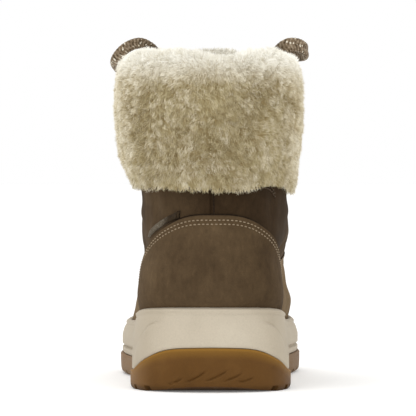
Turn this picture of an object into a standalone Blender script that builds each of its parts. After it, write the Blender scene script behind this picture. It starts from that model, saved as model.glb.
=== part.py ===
"""Left winter boot: laced ankle boot with a folded fleece cuff on a two-part sole.

The frame is in metres with +Z up. +Y runs from heel to toe and -X is the outer (lateral) side
of the left foot. The origin is the middle of the heel's flat contact patch on the ground.
Tables and sizes below are in millimetres and are turned into metres when a mesh is made.
"""

import math
from collections import namedtuple

import bmesh
import bpy
from mathutils import Vector

MM = 0.001

# --- driving sizes, in millimetres -------------------------------------------------------
GAP = 0.4  # clearance between neighbouring pieces
SUBDIVISIONS = 2  # points of the outline in each span between two stations
GUM_WALL = 2.6  # thickness of the outsole's upturned edge
GUM_FLOOR = 5.5  # thickness of the outsole with its lugs
LUG_DEPTH = 3.0
UPPER_WALL = 2.2
LASTING_MARGIN = 8.0  # how far the upper turns in under the foot
UPPER_FOOT_INSET = 1.0  # the upper's lower edge, in from the foam's recess
INSOLE_THICK = 4.5
INSOLE_INSET = 1.2
INSOLE_LIFT = 1.9
COLLAR_Z = 184.0
CUFF_HEM_Z = 114.0
CUFF_TOP_Z = 198.0
CUFF_LEAN = 2.8  # how far the cuff's pile sits over to the outer side
CUFF_FRONT_GAP = 40.0  # degrees from the front's middle to each end of the cuff
TONGUE_TOP_Z = 202.0
TONGUE_HALF = 24.0
THROAT_LOW_Z = 78.0
THROAT_LOW_HALF = 10.0
THROAT_TOP_HALF = 15.0
TONGUE_LOW_LEVEL = 7.6  # the tongue's lower end, as a place along the upper's sections
TONGUE_UNDER = (3.4, 6.6)  # how deep the tongue's two faces lie under the upper's outside
TONGUE_CORNER = 5.0  # how far its top corners are lowered
CROSSING_LIFTS = (3.6, 3.9, 4.3)  # the lace's middle above the upper, for each kind of bar
CROSSING_BOW = 0.8
LACE_WIDE = 6.0
LACE_THICK = 1.8
LACE_TUBE = 5.0  # the free lace is flat; its solid is a tube of this diameter

# --- tables, in millimetres --------------------------------------------------------------
Station = namedtuple("Station", "y lateral medial")
SOLE_OUTLINE = [
    Station(-40.0, 0.0, 0.0),
    Station(-35.5, -22.0, 22.0),
    Station(-22.0, -38.5, 38.5),
    Station(2.0, -46.9, 46.0),
    Station(35.0, -46.4, 44.2),
    Station(72.0, -44.4, 39.5),
    Station(108.0, -49.8, 42.8),
    Station(140.0, -56.4, 49.6),
    Station(170.0, -57.9, 54.2),
    Station(198.0, -52.0, 51.4),
    Station(221.0, -37.5, 40.8),
    Station(237.0, -16.5, 22.5),
    Station(242.0, 3.5, 3.5),
]

Height = namedtuple("Height", "y z")
UNDERSIDE = [
    Height(-40.0, 3.5),
    Height(-30.0, 1.0),
    Height(-20.0, 0.0),
    Height(45.0, 0.0),
    Height(62.0, 2.2),
    Height(80.0, 4.5),
    Height(98.0, 3.0),
    Height(115.0, 0.0),
    Height(182.0, 0.0),
    Height(200.0, 1.8),
    Height(215.0, 5.0),
    Height(230.0, 9.6),
    Height(242.0, 15.0),
]
GUM_TOP = [
    Height(-40.0, 25.4),
    Height(-35.5, 24.6),
    Height(-22.0, 18.6),
    Height(2.0, 11.0),
    Height(35.0, 10.6),
    Height(72.0, 11.5),
    Height(150.0, 12.9),
    Height(200.0, 14.5),
    Height(225.0, 18.5),
    Height(242.0, 25.0),
]
RIM = [
    Height(-40.0, 48.6),
    Height(-22.0, 47.6),
    Height(2.0, 45.0),
    Height(35.0, 41.0),
    Height(72.0, 36.8),
    Height(108.0, 34.4),
    Height(150.0, 33.6),
    Height(200.0, 34.8),
    Height(225.0, 37.2),
    Height(242.0, 40.0),
]
BED = [
    Height(-40.0, 34.0),
    Height(2.0, 33.0),
    Height(35.0, 31.0),
    Height(72.0, 27.0),
    Height(108.0, 23.5),
    Height(150.0, 21.5),
    Height(200.0, 23.0),
    Height(225.0, 26.5),
    Height(242.0, 30.0),
]

Groove = namedtuple("Groove", "first_y step count wide sweep")
GROOVES = [
    Groove(-21.0, 14.0, 5, 4.5, 4.0),
    Groove(122.0, 16.0, 7, 5.0, 12.0),
]
GROOVE_REACH = 66.0  # how far each groove runs to both sides
GROOVE_START_Z = -6.0  # the cutter's underside, below the ground

# How far the side stands in from the sole's outline, at the heel and at the forefoot.
Side = namedtuple("Side", "share heel fore")
GUM_SIDE = [  # share runs from the underside to the gum's top edge
    Side(0.00, 1.4, 3.2),
    Side(0.14, 0.3, 0.8),
    Side(0.35, 0.0, 0.2),
    Side(0.75, 0.0, 0.0),
    Side(1.00, 0.5, 0.3),
]
FOAM_SIDE = [  # share runs from the gum's top edge to the rim
    Side(0.00, 0.9, 1.2),
    Side(0.14, 1.0, 1.2),
    Side(0.20, 1.0, 2.8),
    Side(0.28, 1.1, 1.1),
    Side(0.48, 1.5, 1.1),
    Side(0.68, 2.2, 2.0),
    Side(0.86, 3.0, 3.4),
    Side(0.96, 3.6, 4.5),
    Side(1.00, 4.6, 5.3),
]
RECESS_HEEL = 7.2  # the foam rim's inner edge, in from the outline
RECESS_FORE = 7.0

# Closed sections of the upper above the rim, from low to high. Each goes from a point on the
# boot's back line to one on its front line. heel and fore widen the sole's own outline there,
# oval is the share of a plain oval in the section, and half and middle are that oval's.
Ring = namedtuple("Ring", "back_y back_z front_y front_z heel fore oval half middle")
UPPER_RINGS = [
    Ring(-37.6, 54.5, 232.5, 42.0, 1.0, -0.7, 0.00, 42.0, 2.3),
    Ring(-38.0, 63.0, 230.5, 52.0, 0.8, -2.8, 0.04, 43.4, 1.8),
    Ring(-37.4, 71.0, 221.5, 62.0, 0.0, -3.6, 0.12, 44.2, 1.5),
    Ring(-36.6, 77.0, 208.0, 68.0, -0.6, -4.5, 0.28, 45.2, 1.8),
    Ring(-35.6, 82.5, 190.0, 72.5, -0.6, -5.4, 0.44, 45.8, 2.4),
    Ring(-34.6, 88.0, 170.0, 79.0, -0.4, -5.1, 0.62, 46.1, 2.6),
    Ring(-33.4, 94.0, 150.0, 87.5, 0.0, -4.6, 0.80, 45.4, 2.4),
    Ring(-32.4, 101.0, 130.0, 98.0, 0.0, -3.4, 0.94, 44.1, 1.9),
    Ring(-31.8, 109.0, 113.0, 109.5, 0.0, 0.0, 1.00, 43.1, 1.5),
    Ring(-31.6, 119.0, 103.0, 121.0, 0.0, 0.0, 1.00, 42.8, 1.3),
    Ring(-32.0, 135.0, 97.0, 136.5, 0.0, 0.0, 1.00, 42.8, 1.1),
    Ring(-33.0, 152.0, 94.0, 152.5, 0.0, 0.0, 1.00, 42.8, 0.9),
    Ring(-34.0, 168.0, 93.5, 168.0, 0.0, 0.0, 1.00, 42.8, 0.8),
    Ring(-35.0, COLLAR_Z, 95.0, COLLAR_Z, 0.0, 0.0, 1.00, 42.8, 0.8),
]
OVAL_POWER = 2.3

# The counter's top edge along the boot, as a height for each place along Y.
COUNTER_EDGE = [
    Height(-34.0, 101.2),
    Height(-31.5, 100.0),
    Height(-28.0, 98.2),
    Height(-20.0, 94.0),
    Height(-11.0, 89.2),
    Height(-3.0, 84.4),
    Height(3.0, 79.4),
    Height(9.0, 72.0),
    Height(16.0, 63.0),
    Height(24.0, 55.0),
    Height(32.0, 48.0),
]
COUNTER_FRONT_Y = 30.0
COUNTER_THICK = 1.4
COUNTER_FOOT_GAP = 1.3
OVERLAY_GAP = 1.0  # clearance under a piece that follows the upper

# The cuff's section: how far it stands out from the shaft, and its height.
Fold = namedtuple("Fold", "out z")
CUFF_INSIDE = [
    Fold(0.8, CUFF_HEM_Z + 1.0),
    Fold(0.8, COLLAR_Z + 0.8),
    Fold(-3.6, COLLAR_Z + 0.8),
    Fold(-3.6, COLLAR_Z - 12.0),
    Fold(-7.6, COLLAR_Z - 11.0),
    Fold(-8.0, COLLAR_Z + 3.0),
    Fold(-5.0, CUFF_TOP_Z - 4.0),
]
CUFF_OUTSIDE = [
    Fold(0.8, CUFF_TOP_Z - 1.0),
    Fold(7.4, CUFF_TOP_Z - 2.2),
    Fold(10.8, CUFF_TOP_Z - 8.0),
    Fold(11.4, CUFF_TOP_Z - 18.5),
    Fold(11.6, CUFF_TOP_Z - 30.0),
    Fold(11.4, CUFF_TOP_Z - 41.5),
    Fold(10.8, CUFF_TOP_Z - 53.0),
    Fold(8.4, CUFF_TOP_Z - 64.0),
    Fold(4.8, CUFF_TOP_Z - 75.0),
    Fold(2.4, CUFF_HEM_Z),
]
CUFF_COLUMNS = 42
CUFF_DIP = 4.5  # how far the top edge sags behind the ankle
CUFF_WAVE = 1.8  # how far neighbouring columns of locks stand above each other
LOCK_OUT = 3.0
LOCK_DROP = 3.0
LOCK_UNEVEN = 1.2

TAB_BACK_X = -19.0  # the side tab's two ends across the heel
TAB_FRONT_X = -33.5
TAB_WIDE = 5.8
TAB_ABOVE = 2.4  # its lower edge above the counter's
TAB_LIFTS = (0.7, 2.1)  # its two faces above the upper

EYELET_ROWS = (8.6, 9.8, 11.1, 12.6, 13.9, 15.2)  # places along the upper's rings
EYELET_FROM_EDGE = 7.0
EYELET_OUTER = 4.4
EYELET_INNER = 2.3
EYELET_THICK = 1.1
EYELET_LIFT = 0.8
EYELET_SIDES = 8

KNOT_CENTRE = Vector((0.0, 98.0, 182.0))
KNOT_HALF = Vector((6.0, 4.2, 5.0))
KNOT_CLEAR = 7.4  # how far from the knot's middle the lace from the eyelets ends
LOOP_LATERAL = [
    (-8.0, 98.5, 184.5),
    (-16.0, 101.0, 187.3),
    (-23.5, 102.2, 191.8),
    (-30.5, 102.1, 197.3),
    (-37.2, 99.9, 202.6),
    (-45.2, 96.8, 204.5),
    (-52.8, 94.6, 201.4),
    (-58.3, 95.4, 194.8),
    (-60.4, 100.6, 188.3),
    (-58.3, 108.3, 184.3),
    (-51.5, 114.3, 183.4),
    (-42.4, 115.7, 183.6),
    (-33.4, 113.7, 183.4),
    (-25.0, 109.8, 182.6),
    (-16.8, 105.3, 181.5),
    (-8.5, 101.0, 180.0),
]
LOOP_MEDIAL = [
    (8.0, 98.5, 184.5),
    (15.6, 102.9, 185.5),
    (23.1, 107.3, 187.4),
    (30.5, 111.5, 189.8),
    (37.6, 115.4, 193.4),
    (45.6, 116.1, 196.7),
    (53.1, 112.5, 198.0),
    (57.4, 104.9, 199.9),
    (56.3, 96.6, 203.7),
    (50.6, 90.9, 205.5),
    (43.0, 89.0, 203.9),
    (36.6, 91.0, 199.4),
    (32.2, 96.0, 192.3),
    (25.4, 99.3, 186.8),
    (17.0, 100.5, 182.9),
    (8.5, 101.0, 180.0),
]
END_LATERAL = [
    (-4.5, 102.0, 176.0),
    (-8.3, 103.4, 164.7),
    (-11.8, 103.5, 153.3),
    (-15.0, 104.3, 141.7),
    (-17.5, 106.8, 130.0),
]
END_MEDIAL = [
    (4.5, 102.0, 176.0),
    (9.0, 103.4, 165.3),
    (13.2, 103.5, 154.6),
    (17.0, 104.2, 143.6),
    (20.0, 106.4, 132.5),
]


# --- numbers -----------------------------------------------------------------------------
def blend(a, b, share):
    return a + (b - a) * share


def ease(value, low, high):
    """0 below low, 1 above high and smooth between."""
    share = min(max((value - low) / (high - low), 0.0), 1.0)
    return share * share * (3.0 - 2.0 * share)


def height_at(table, y):
    """A smooth height for y that never overshoots the table's own heights."""
    if y <= table[0].y:
        return table[0].z
    if y >= table[-1].y:
        return table[-1].z
    slopes = [(b.z - a.z) / (b.y - a.y) for a, b in zip(table, table[1:])]
    span = next(k for k, row in enumerate(table[1:]) if y <= row.y)
    ends = []
    for k in (span, span + 1):
        before = slopes[max(k - 1, 0)]
        after = slopes[min(k, len(slopes) - 1)]
        level = before * after <= 0.0
        ends.append(0.0 if level else 2.0 * before * after / (before + after))
    low, high = table[span], table[span + 1]
    width = high.y - low.y
    t = (y - low.y) / width
    return (
        low.z * (1 + 2 * t) * (1 - t) ** 2
        + ends[0] * width * t * (1 - t) ** 2
        + high.z * t * t * (3 - 2 * t)
        + ends[1] * width * t * t * (t - 1)
    )


def through(points, per_span, closed=False):
    """Points along a smooth curve through the given ones."""
    count = len(points)
    spans = count if closed else count - 1

    def point(k):
        return points[k % count] if closed else points[min(max(k, 0), count - 1)]

    out = []
    for k in range(spans):
        a, b, c, d = (Vector(point(k + step)) for step in (-1, 0, 1, 2))
        for part in range(per_span):
            t = part / per_span
            out.append(
                0.5
                * (
                    2 * b
                    + (c - a) * t
                    + (2 * a - 5 * b + 4 * c - d) * t * t
                    + (3 * b - a - 3 * c + d) * t ** 3
                )
            )
    if not closed:
        out.append(Vector(points[-1]))
    return out


def wobble(k, n):
    """A repeatable value from -1 to 1 for a place in a grid."""
    return math.sin(k * 12.9898 + n * 78.233 + 0.7 * k * n)


# --- the sole's outline ------------------------------------------------------------------
def make_outline():
    """The sole's outline seen from above, from the heel's back round the outer side."""
    outer = [(row.lateral, row.y, 0.0) for row in SOLE_OUTLINE]
    inner = [(row.medial, row.y, 0.0) for row in SOLE_OUTLINE[1:-1]]
    return through(outer + inner[::-1], SUBDIVISIONS, closed=True)


OUTLINE = make_outline()
COUNT = len(OUTLINE)
HALF_COUNT = COUNT // 2


def outward(k):
    """The outline's outward direction at one of its points."""
    along = OUTLINE[(k + 1) % COUNT] - OUTLINE[k - 1]
    return Vector((along.y, -along.x, 0.0)).normalized() * -1.0


def foreness(y):
    """0 at the heel and 1 at the forefoot."""
    return ease(y, 30.0, 105.0)


def recess(y):
    return blend(RECESS_HEEL, RECESS_FORE, foreness(y))


def side_ring(inset_of, height_of):
    """A ring round the sole, inset from its outline, both worked out from Y."""
    ring = []
    for k, point in enumerate(OUTLINE):
        place = point - outward(k) * inset_of(point.y)
        ring.append(Vector((place.x, place.y, height_of(point.y))))
    return ring


# --- meshes ------------------------------------------------------------------------------
def material(name, colour, roughness, metallic=0.0):
    made = bpy.data.materials.new(name)
    made.use_nodes = True
    shader = made.node_tree.nodes["Principled BSDF"]
    shader.inputs["Base Color"].default_value = (*colour, 1.0)
    shader.inputs["Roughness"].default_value = roughness
    shader.inputs["Metallic"].default_value = metallic
    return made


def solid(name, points, faces, finish):
    """A named object in metres from points in millimetres, with its faces pointing out."""
    mesh = bpy.data.meshes.new(name)
    mesh.from_pydata([Vector(p) * MM for p in points], [], faces)
    work = bmesh.new()
    work.from_mesh(mesh)
    bmesh.ops.recalc_face_normals(work, faces=work.faces)
    work.to_mesh(mesh)
    work.free()
    mesh.shade_smooth()
    mesh.set_sharp_from_angle(angle=math.radians(40.0))
    mesh.materials.append(finish)
    made = bpy.data.objects.new(name, mesh)
    bpy.context.scene.collection.objects.link(made)
    return made


def wall_faces(rings, count, closed=True):
    """Faces between neighbouring rings of equal length."""
    last = count if closed else count - 1
    faces = []
    for r in range(0, (rings - 1) * count, count):
        for k in range(last):
            after = (k + 1) % count
            faces.append((r + k, r + after, r + count + after, r + count + k))
    return faces


def rungs(first, count):
    """Faces that close a ring round the foot, from its outer to its inner side."""
    half = count // 2
    faces = [(first, first + 1, first + count - 1)]
    faces += [
        (first + k, first + k + 1, first + count - k - 1, first + count - k)
        for k in range(1, half - 1)
    ]
    faces.append((first + half - 1, first + half, first + half + 1))
    return faces


def stack(name, rings, finish):
    """A closed solid from rings round the foot, closed at the first and the last."""
    points = [p for ring in rings for p in ring]
    faces = wall_faces(len(rings), COUNT) + rungs(0, COUNT) + rungs((len(rings) - 1) * COUNT, COUNT)
    return solid(name, points, faces, finish)


def cut(target, cutter):
    cutter.hide_render = True
    cutter.display_type = "WIRE"
    modifier = target.modifiers.new(cutter.name, "BOOLEAN")
    modifier.operation = "DIFFERENCE"
    modifier.object = cutter


def join(target, others):
    """Unite other solids with one and remove them."""
    for other in others:
        modifier = target.modifiers.new(other.name, "BOOLEAN")
        modifier.operation = "UNION"
        modifier.object = other
    seen = target.evaluated_get(bpy.context.evaluated_depsgraph_get())
    mesh = bpy.data.meshes.new_from_object(seen)
    target.modifiers.clear()
    target.data = mesh
    for other in others:
        bpy.data.objects.remove(other)
    return target


# --- outsole -----------------------------------------------------------------------------
def channel(middle, wide):
    """A closed groove cutter along a line under the sole, LUG_DEPTH deep."""
    points = []
    for k, (x, y) in enumerate(middle):
        before = Vector(middle[max(k - 1, 0)])
        after = Vector(middle[min(k + 1, len(middle) - 1)])
        along = (after - before).normalized()
        across = Vector((-along.y, along.x)) * (wide / 2)
        for side in (-1, 1):
            px, py = x + across.x * side, y + across.y * side
            points.append(Vector((px, py, GROOVE_START_Z)))
            points.append(Vector((px, py, height_at(UNDERSIDE, py) + LUG_DEPTH)))
    faces = []
    for k in range(len(middle) - 1):
        a, b = 4 * k, 4 * k + 4
        faces += [
            (a, b, b + 1, a + 1),
            (a + 1, b + 1, b + 3, a + 3),
            (a + 3, b + 3, b + 2, a + 2),
            (a + 2, b + 2, b, a),
        ]
    end = 4 * (len(middle) - 1)
    faces += [(0, 1, 3, 2), (end, end + 2, end + 3, end + 1)]
    return points, faces


def chevron(y, reach, sweep):
    """A groove across the sole, swept back towards both sides."""
    return [(x, y - sweep * abs(x) / reach) for x in (-reach, -reach / 2, 0.0, reach / 2, reach)]


def make_outsole(gum):
    def under(y):
        return height_at(UNDERSIDE, y)

    def top(y):
        return height_at(GUM_TOP, y)

    def side(row):
        return side_ring(
            lambda y: blend(row.heel, row.fore, foreness(y)),
            lambda y: blend(under(y), top(y), row.share),
        )

    def lining(y):
        return blend(GUM_SIDE[-1].heel, GUM_SIDE[-1].fore, foreness(y)) + GUM_WALL

    rings = [side(row) for row in GUM_SIDE]
    rings.append(side_ring(lining, top))
    rings.append(side_ring(lining, lambda y: under(y) + GUM_FLOOR))
    outsole = stack("outsole", rings, gum)

    points, faces = [], []
    for row in GROOVES:
        for k in range(row.count):
            line = chevron(row.first_y + row.step * k, GROOVE_REACH, row.sweep)
            more, added = channel(line, row.wide)
            faces += [tuple(i + len(points) for i in face) for face in added]
            points += more
    cut(outsole, solid("tread_grooves", points, faces, gum))
    return outsole


# --- midsole -----------------------------------------------------------------------------
def make_midsole(foam):
    def floor(y):
        return height_at(UNDERSIDE, y) + GUM_FLOOR + GAP

    def seam(y):
        return height_at(GUM_TOP, y) + GAP

    def rim(y):
        return height_at(RIM, y)

    def tucked(y):
        edge = blend(GUM_SIDE[-1].heel, GUM_SIDE[-1].fore, foreness(y))
        return edge + GUM_WALL + GAP

    def side(row):
        return side_ring(
            lambda y: blend(row.heel, row.fore, foreness(y)),
            lambda y: blend(seam(y), rim(y), row.share),
        )

    rings = [side_ring(tucked, floor), side_ring(tucked, seam)]
    rings += [side(row) for row in FOAM_SIDE]
    rings.append(side_ring(recess, lambda y: rim(y) - 0.5))
    rings.append(side_ring(lambda y: recess(y) + 0.6, lambda y: height_at(BED, y)))
    return stack("midsole", rings, foam)


# --- upper -------------------------------------------------------------------------------
def oval_point(ring, k):
    """A point of a section's plain oval, k being a place round the outline from the heel."""
    turn = 2.0 * math.pi * k / COUNT
    across, along = -math.sin(turn), -math.cos(turn)
    across = math.copysign(abs(across) ** (2.0 / OVAL_POWER), across)
    along = math.copysign(abs(along) ** (2.0 / OVAL_POWER), along)
    return Vector(
        (
            ring.middle + ring.half * across,
            blend(ring.back_y, ring.front_y, 0.5 + 0.5 * along),
            0.0,
        )
    )


def upper_ring(ring):
    """One section of the upper."""
    foot = side_ring(
        lambda y: recess(y) - blend(ring.heel, ring.fore, foreness(y)),
        lambda y: 0.0,
    )
    low, high = foot[0].y, foot[HALF_COUNT].y
    points = []
    for k, point in enumerate(foot):
        share = (point.y - low) / (high - low)
        shifted = point.x + ring.middle * foreness(point.y)
        scaled = Vector((shifted, blend(ring.back_y, ring.front_y, share), 0.0))
        place = scaled.lerp(oval_point(ring, k), ring.oval)
        length = (place.y - ring.back_y) / (ring.front_y - ring.back_y)
        place.z = blend(ring.back_z, ring.front_z, length)
        points.append(place)
    return points


def bed_top(y):
    return height_at(BED, y) + GAP


def make_upper_rings():
    """All sections of the upper: the lasting margin, its edge, the rim's level and upwards."""
    rings = [
        side_ring(lambda y: recess(y) + UPPER_FOOT_INSET + LASTING_MARGIN, bed_top),
        side_ring(lambda y: recess(y) + UPPER_FOOT_INSET, bed_top),
        side_ring(lambda y: recess(y) + GAP, lambda y: height_at(RIM, y)),
    ]
    return rings + [upper_ring(ring) for ring in UPPER_RINGS]


UPPER = make_upper_rings()


def upper_place(k, v):
    """A point on the upper's outside: k is a place round it, and v one along its sections."""
    row = min(int(v), len(UPPER) - 2)
    column = math.floor(k)
    across, up = k - column, v - row
    corner = [UPPER[row + r][(column + c) % COUNT] for r in (0, 1) for c in (0, 1)]
    low = corner[0].lerp(corner[1], across)
    high = corner[2].lerp(corner[3], across)
    return low.lerp(high, up)


def upper_out(k, v):
    """The upper's outward direction at a place."""
    top = len(UPPER) - 1.0
    along = upper_place(k + 0.7, v) - upper_place(k - 0.7, v)
    up = upper_place(k, min(v + 0.5, top)) - upper_place(k, v - 0.5)
    return up.cross(along).normalized()


def upper_at(k, v, lift):
    return upper_place(k, v) + upper_out(k, v) * lift


def level_of(k, z):
    """The place along the sections where the upper has height z."""
    low, high = 2.0, len(UPPER) - 1.0
    for _ in range(30):
        middle = (low + high) / 2
        if upper_place(k, middle).z < z:
            low = middle
        else:
            high = middle
    return (low + high) / 2


def column_of(x, v, low, high):
    """The place from low to high round the upper where it has the side position x."""
    for _ in range(30):
        middle = (low + high) / 2
        if upper_place(middle, v).x < x:
            low = middle
        else:
            high = middle
    return (low + high) / 2


def front_column(x, v):
    """The place round the upper's front where it has the side position x."""
    return column_of(x, v, HALF_COUNT - 9.0, HALF_COUNT + 9.0)


def throat_half(z):
    return blend(THROAT_LOW_HALF, THROAT_TOP_HALF, ease(z, THROAT_LOW_Z, COLLAR_Z))


def make_throat_cutter(finish):
    """The throat as a rounded slot seen from the front, running up past the collar."""
    bend = [math.radians(180.0 + 30.0 * k) for k in range(7)]
    centre_z = THROAT_LOW_Z + THROAT_LOW_HALF
    outline = [
        (THROAT_LOW_HALF * math.cos(a), centre_z + THROAT_LOW_HALF * math.sin(a)) for a in bend
    ]
    for z in (110.0, 135.0, 160.0, COLLAR_Z + 10.0):
        outline.append((throat_half(z), z))
    for z in (COLLAR_Z + 10.0, 160.0, 135.0, 110.0):
        outline.append((-throat_half(z), z))
    count = len(outline)
    points = [Vector((x, y, z)) for y in (60.0, 195.0) for x, z in outline]
    faces = wall_faces(2, count)
    faces += [tuple(range(count)), tuple(range(count, 2 * count))]
    return solid("throat_cutter", points, faces, finish)


def make_upper(nubuck):
    points = [p for ring in UPPER for p in ring]
    mesh = bpy.data.meshes.new("upper")
    mesh.from_pydata([p * MM for p in points], [], wall_faces(len(UPPER), COUNT))
    work = bmesh.new()
    work.from_mesh(mesh)
    bmesh.ops.recalc_face_normals(work, faces=work.faces)
    back = min(work.faces, key=lambda face: face.calc_center_median().y)
    if back.normal.y > 0.0:
        bmesh.ops.reverse_faces(work, faces=work.faces)
    work.to_mesh(mesh)
    work.free()
    mesh.shade_smooth()
    mesh.materials.append(nubuck)
    upper = bpy.data.objects.new("upper", mesh)
    bpy.context.scene.collection.objects.link(upper)
    wall = upper.modifiers.new("wall", "SOLIDIFY")
    wall.thickness = UPPER_WALL * MM
    wall.offset = -1.0
    wall.use_even_offset = True
    cut(upper, make_throat_cutter(nubuck))
    return upper


# --- pieces shaped by the upper ------------------------------------------------------------
def slab(name, grid, inner, outer, finish):
    """A closed sheet over the upper: grid holds (k, v) places, rows of equal length."""
    rows, columns = len(grid), len(grid[0])
    size = rows * columns
    points = [upper_at(k, v, lift) for lift in (inner, outer) for row in grid for k, v in row]
    return solid(name, points, sheet_faces(rows, columns, size), finish)


def sheet_faces(rows, columns, size):
    """Both sides of a sheet of rows by columns, and its edge."""
    faces = []
    for r in range(rows - 1):
        for c in range(columns - 1):
            a = r * columns + c
            quad = (a, a + 1, a + columns + 1, a + columns)
            faces.append(quad[::-1])
            faces.append(tuple(i + size for i in quad))
    edge = list(range(columns))
    edge += [r * columns + columns - 1 for r in range(1, rows)]
    edge += [(rows - 1) * columns + c for c in range(columns - 2, -1, -1)]
    edge += [r * columns for r in range(rows - 2, 0, -1)]
    for a, b in zip(edge, edge[1:] + edge[:1]):
        faces.append((a, b, b + size, a + size))
    return faces


def make_counter(nubuck):
    """The heel counter, from its front edge on the outer side round to the inner side."""
    span = 0
    while OUTLINE[span + 1].y < COUNTER_FRONT_Y:
        span += 1
    columns = [float(k) for k in range(-span, span + 1)]
    rows = 9
    grid = []
    for r in range(rows):
        line = []
        for k in columns:
            foot = height_at(RIM, OUTLINE[int(k)].y) + COUNTER_FOOT_GAP
            probe = upper_place(k, level_of(k, 70.0)).y
            top = max(height_at(COUNTER_EDGE, probe), foot + 3.0)
            line.append((k, level_of(k, blend(foot, top, r / (rows - 1)))))
        grid.append(line)
    return slab("heel_counter", grid, OVERLAY_GAP, OVERLAY_GAP + COUNTER_THICK, nubuck)


def make_side_tab(webbing):
    """A folded woven tab lying just above the counter's edge on the outer side."""
    grid = []
    for r in range(3):
        line = []
        for c in range(5):
            x = blend(TAB_BACK_X, TAB_FRONT_X, c / 4)
            k = column_of(x, level_of(4.0, 97.0), 9.0, 0.0)
            y = upper_place(k, level_of(k, 95.0)).y
            edge = height_at(COUNTER_EDGE, y) + TAB_ABOVE
            line.append((k, level_of(k, edge + TAB_WIDE * r / 2)))
        grid.append(line)
    return slab("side_tab", grid, *TAB_LIFTS, webbing)


def make_tongue(lining):
    """The tongue under the throat, running straight up past the collar."""
    top = len(UPPER) - 1.0
    levels = [blend(TONGUE_LOW_LEVEL, top, r / 11) for r in range(12)]
    shares = [-1.0, -0.7, -0.35, 0.0, 0.35, 0.7, 1.0]
    points = []
    for under in TONGUE_UNDER:
        for v in levels:
            for share in shares:
                k = front_column(UPPER_RINGS[-1].middle + TONGUE_HALF * share, v)
                points.append(upper_at(k, v, -under))
        for rise in (0.5, 1.0):
            for share in shares:
                below = points[-len(shares)]
                height = blend(COLLAR_Z, TONGUE_TOP_Z - TONGUE_CORNER * share ** 4, rise)
                points.append(Vector((below.x * 0.98, below.y + 1.0, height)))
    rows = len(levels) + 2
    size = rows * len(shares)
    return solid("tongue", points, sheet_faces(rows, len(shares), size), lining)


def make_insole(lining):
    def inset(y):
        return recess(y) + UPPER_FOOT_INSET + UPPER_WALL + INSOLE_INSET

    def base(y):
        return bed_top(y) + UPPER_WALL + INSOLE_LIFT

    low = side_ring(inset, base)
    high = side_ring(inset, lambda y: base(y) + INSOLE_THICK)
    return stack("insole", [low, high], lining)


# --- cuff --------------------------------------------------------------------------------
def shaft_at(k, z):
    """The shaft's outside and its level outward direction, k being a place round it."""
    rows = [ring for ring in UPPER_RINGS if ring.oval >= 1.0]
    share = min(max((z - rows[0].back_z) / (COLLAR_Z - rows[0].back_z), 0.0), 1.0)
    heights = [(ring.back_z - rows[0].back_z) / (COLLAR_Z - rows[0].back_z) for ring in rows]
    span = next((r for r in range(len(rows) - 2) if share <= heights[r + 1]), len(rows) - 2)
    part = (share - heights[span]) / (heights[span + 1] - heights[span])

    def place(at):
        return oval_point(rows[span], at).lerp(oval_point(rows[span + 1], at), part)

    along = place(k + 0.2) - place(k - 0.2)
    return place(k), Vector((-along.y, along.x, 0.0)).normalized()


def make_cuff(fleece):
    """A folded-down collar from one side of the throat round the back to the other."""
    reach = HALF_COUNT * (1.0 - CUFF_FRONT_GAP / 180.0)
    profile = CUFF_INSIDE + CUFF_OUTSIDE
    first_lock = len(CUFF_INSIDE)
    points = []
    for c in range(CUFF_COLUMNS + 1):
        k = blend(-reach, reach, c / CUFF_COLUMNS)
        for r, fold in enumerate(profile):
            z = fold.z
            out = fold.out
            if r > first_lock + 1:
                z += CUFF_WAVE * (1 if c % 2 else -1) + 0.8 * wobble(c, r)
                out += 0.7 * wobble(r, c)
            if first_lock - 1 <= r <= first_lock + 1:
                z -= CUFF_DIP * math.exp(-((k + 0.8) / 2.2) ** 2)
            foot, away = shaft_at(k, z)
            place = foot + away * out
            lean = CUFF_LEAN * ease(out, 1.0, 8.0)
            points.append(Vector((place.x - lean, place.y, z)))
    rows = len(profile)
    faces = [tuple(range(rows)), tuple(range(CUFF_COLUMNS * rows, (CUFF_COLUMNS + 1) * rows))]
    for c in range(CUFF_COLUMNS):
        for r in range(rows):
            a = c * rows + r
            b = c * rows + (r + 1) % rows
            quad = (a, b, b + rows, a + rows)
            if first_lock <= r < rows - 1:
                middle = sum((points[i] for i in quad), Vector()) / 4
                foot, away = shaft_at(blend(-reach, reach, (c + 0.5) / CUFF_COLUMNS), middle.z)
                tip = middle + away * (LOCK_OUT + LOCK_UNEVEN * wobble(c, r))
                tip.z -= LOCK_DROP * (0.2 if r < first_lock + 2 else 1.0)
                points.append(tip)
                faces += [(quad[i], quad[(i + 1) % 4], len(points) - 1) for i in range(4)]
            else:
                faces.append(quad)
    return solid("fleece_cuff", points, faces, fleece)


# --- eyelets and lace ----------------------------------------------------------------------
def eyelet_place(side, v):
    x = side * (throat_half(upper_place(float(HALF_COUNT), v).z) + EYELET_FROM_EDGE)
    return front_column(x, v), v


def make_eyelet(number, side, v, metal):
    k, v = eyelet_place(side, v)
    out = upper_out(k, v)
    foot = upper_at(k, v, EYELET_LIFT)
    first = out.cross(Vector((0.0, 0.0, 1.0))).normalized()
    second = out.cross(first)
    points = []
    profile = [(EYELET_OUTER, 0.0), (EYELET_OUTER - 0.5, EYELET_THICK)]
    profile += [(EYELET_INNER, EYELET_THICK), (EYELET_INNER, 0.0)]
    sides = EYELET_SIDES
    for radius, lift in profile:
        for s in range(sides):
            a = 2.0 * math.pi * s / sides
            away = first * math.cos(a) + second * math.sin(a)
            points.append(foot + away * radius + out * lift)
    faces = wall_faces(4, sides)
    faces += [(3 * sides + s, 3 * sides + (s + 1) % sides, (s + 1) % sides, s) for s in range(sides)]
    return solid(f"eyelet_{number}", points, faces, metal)


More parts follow.
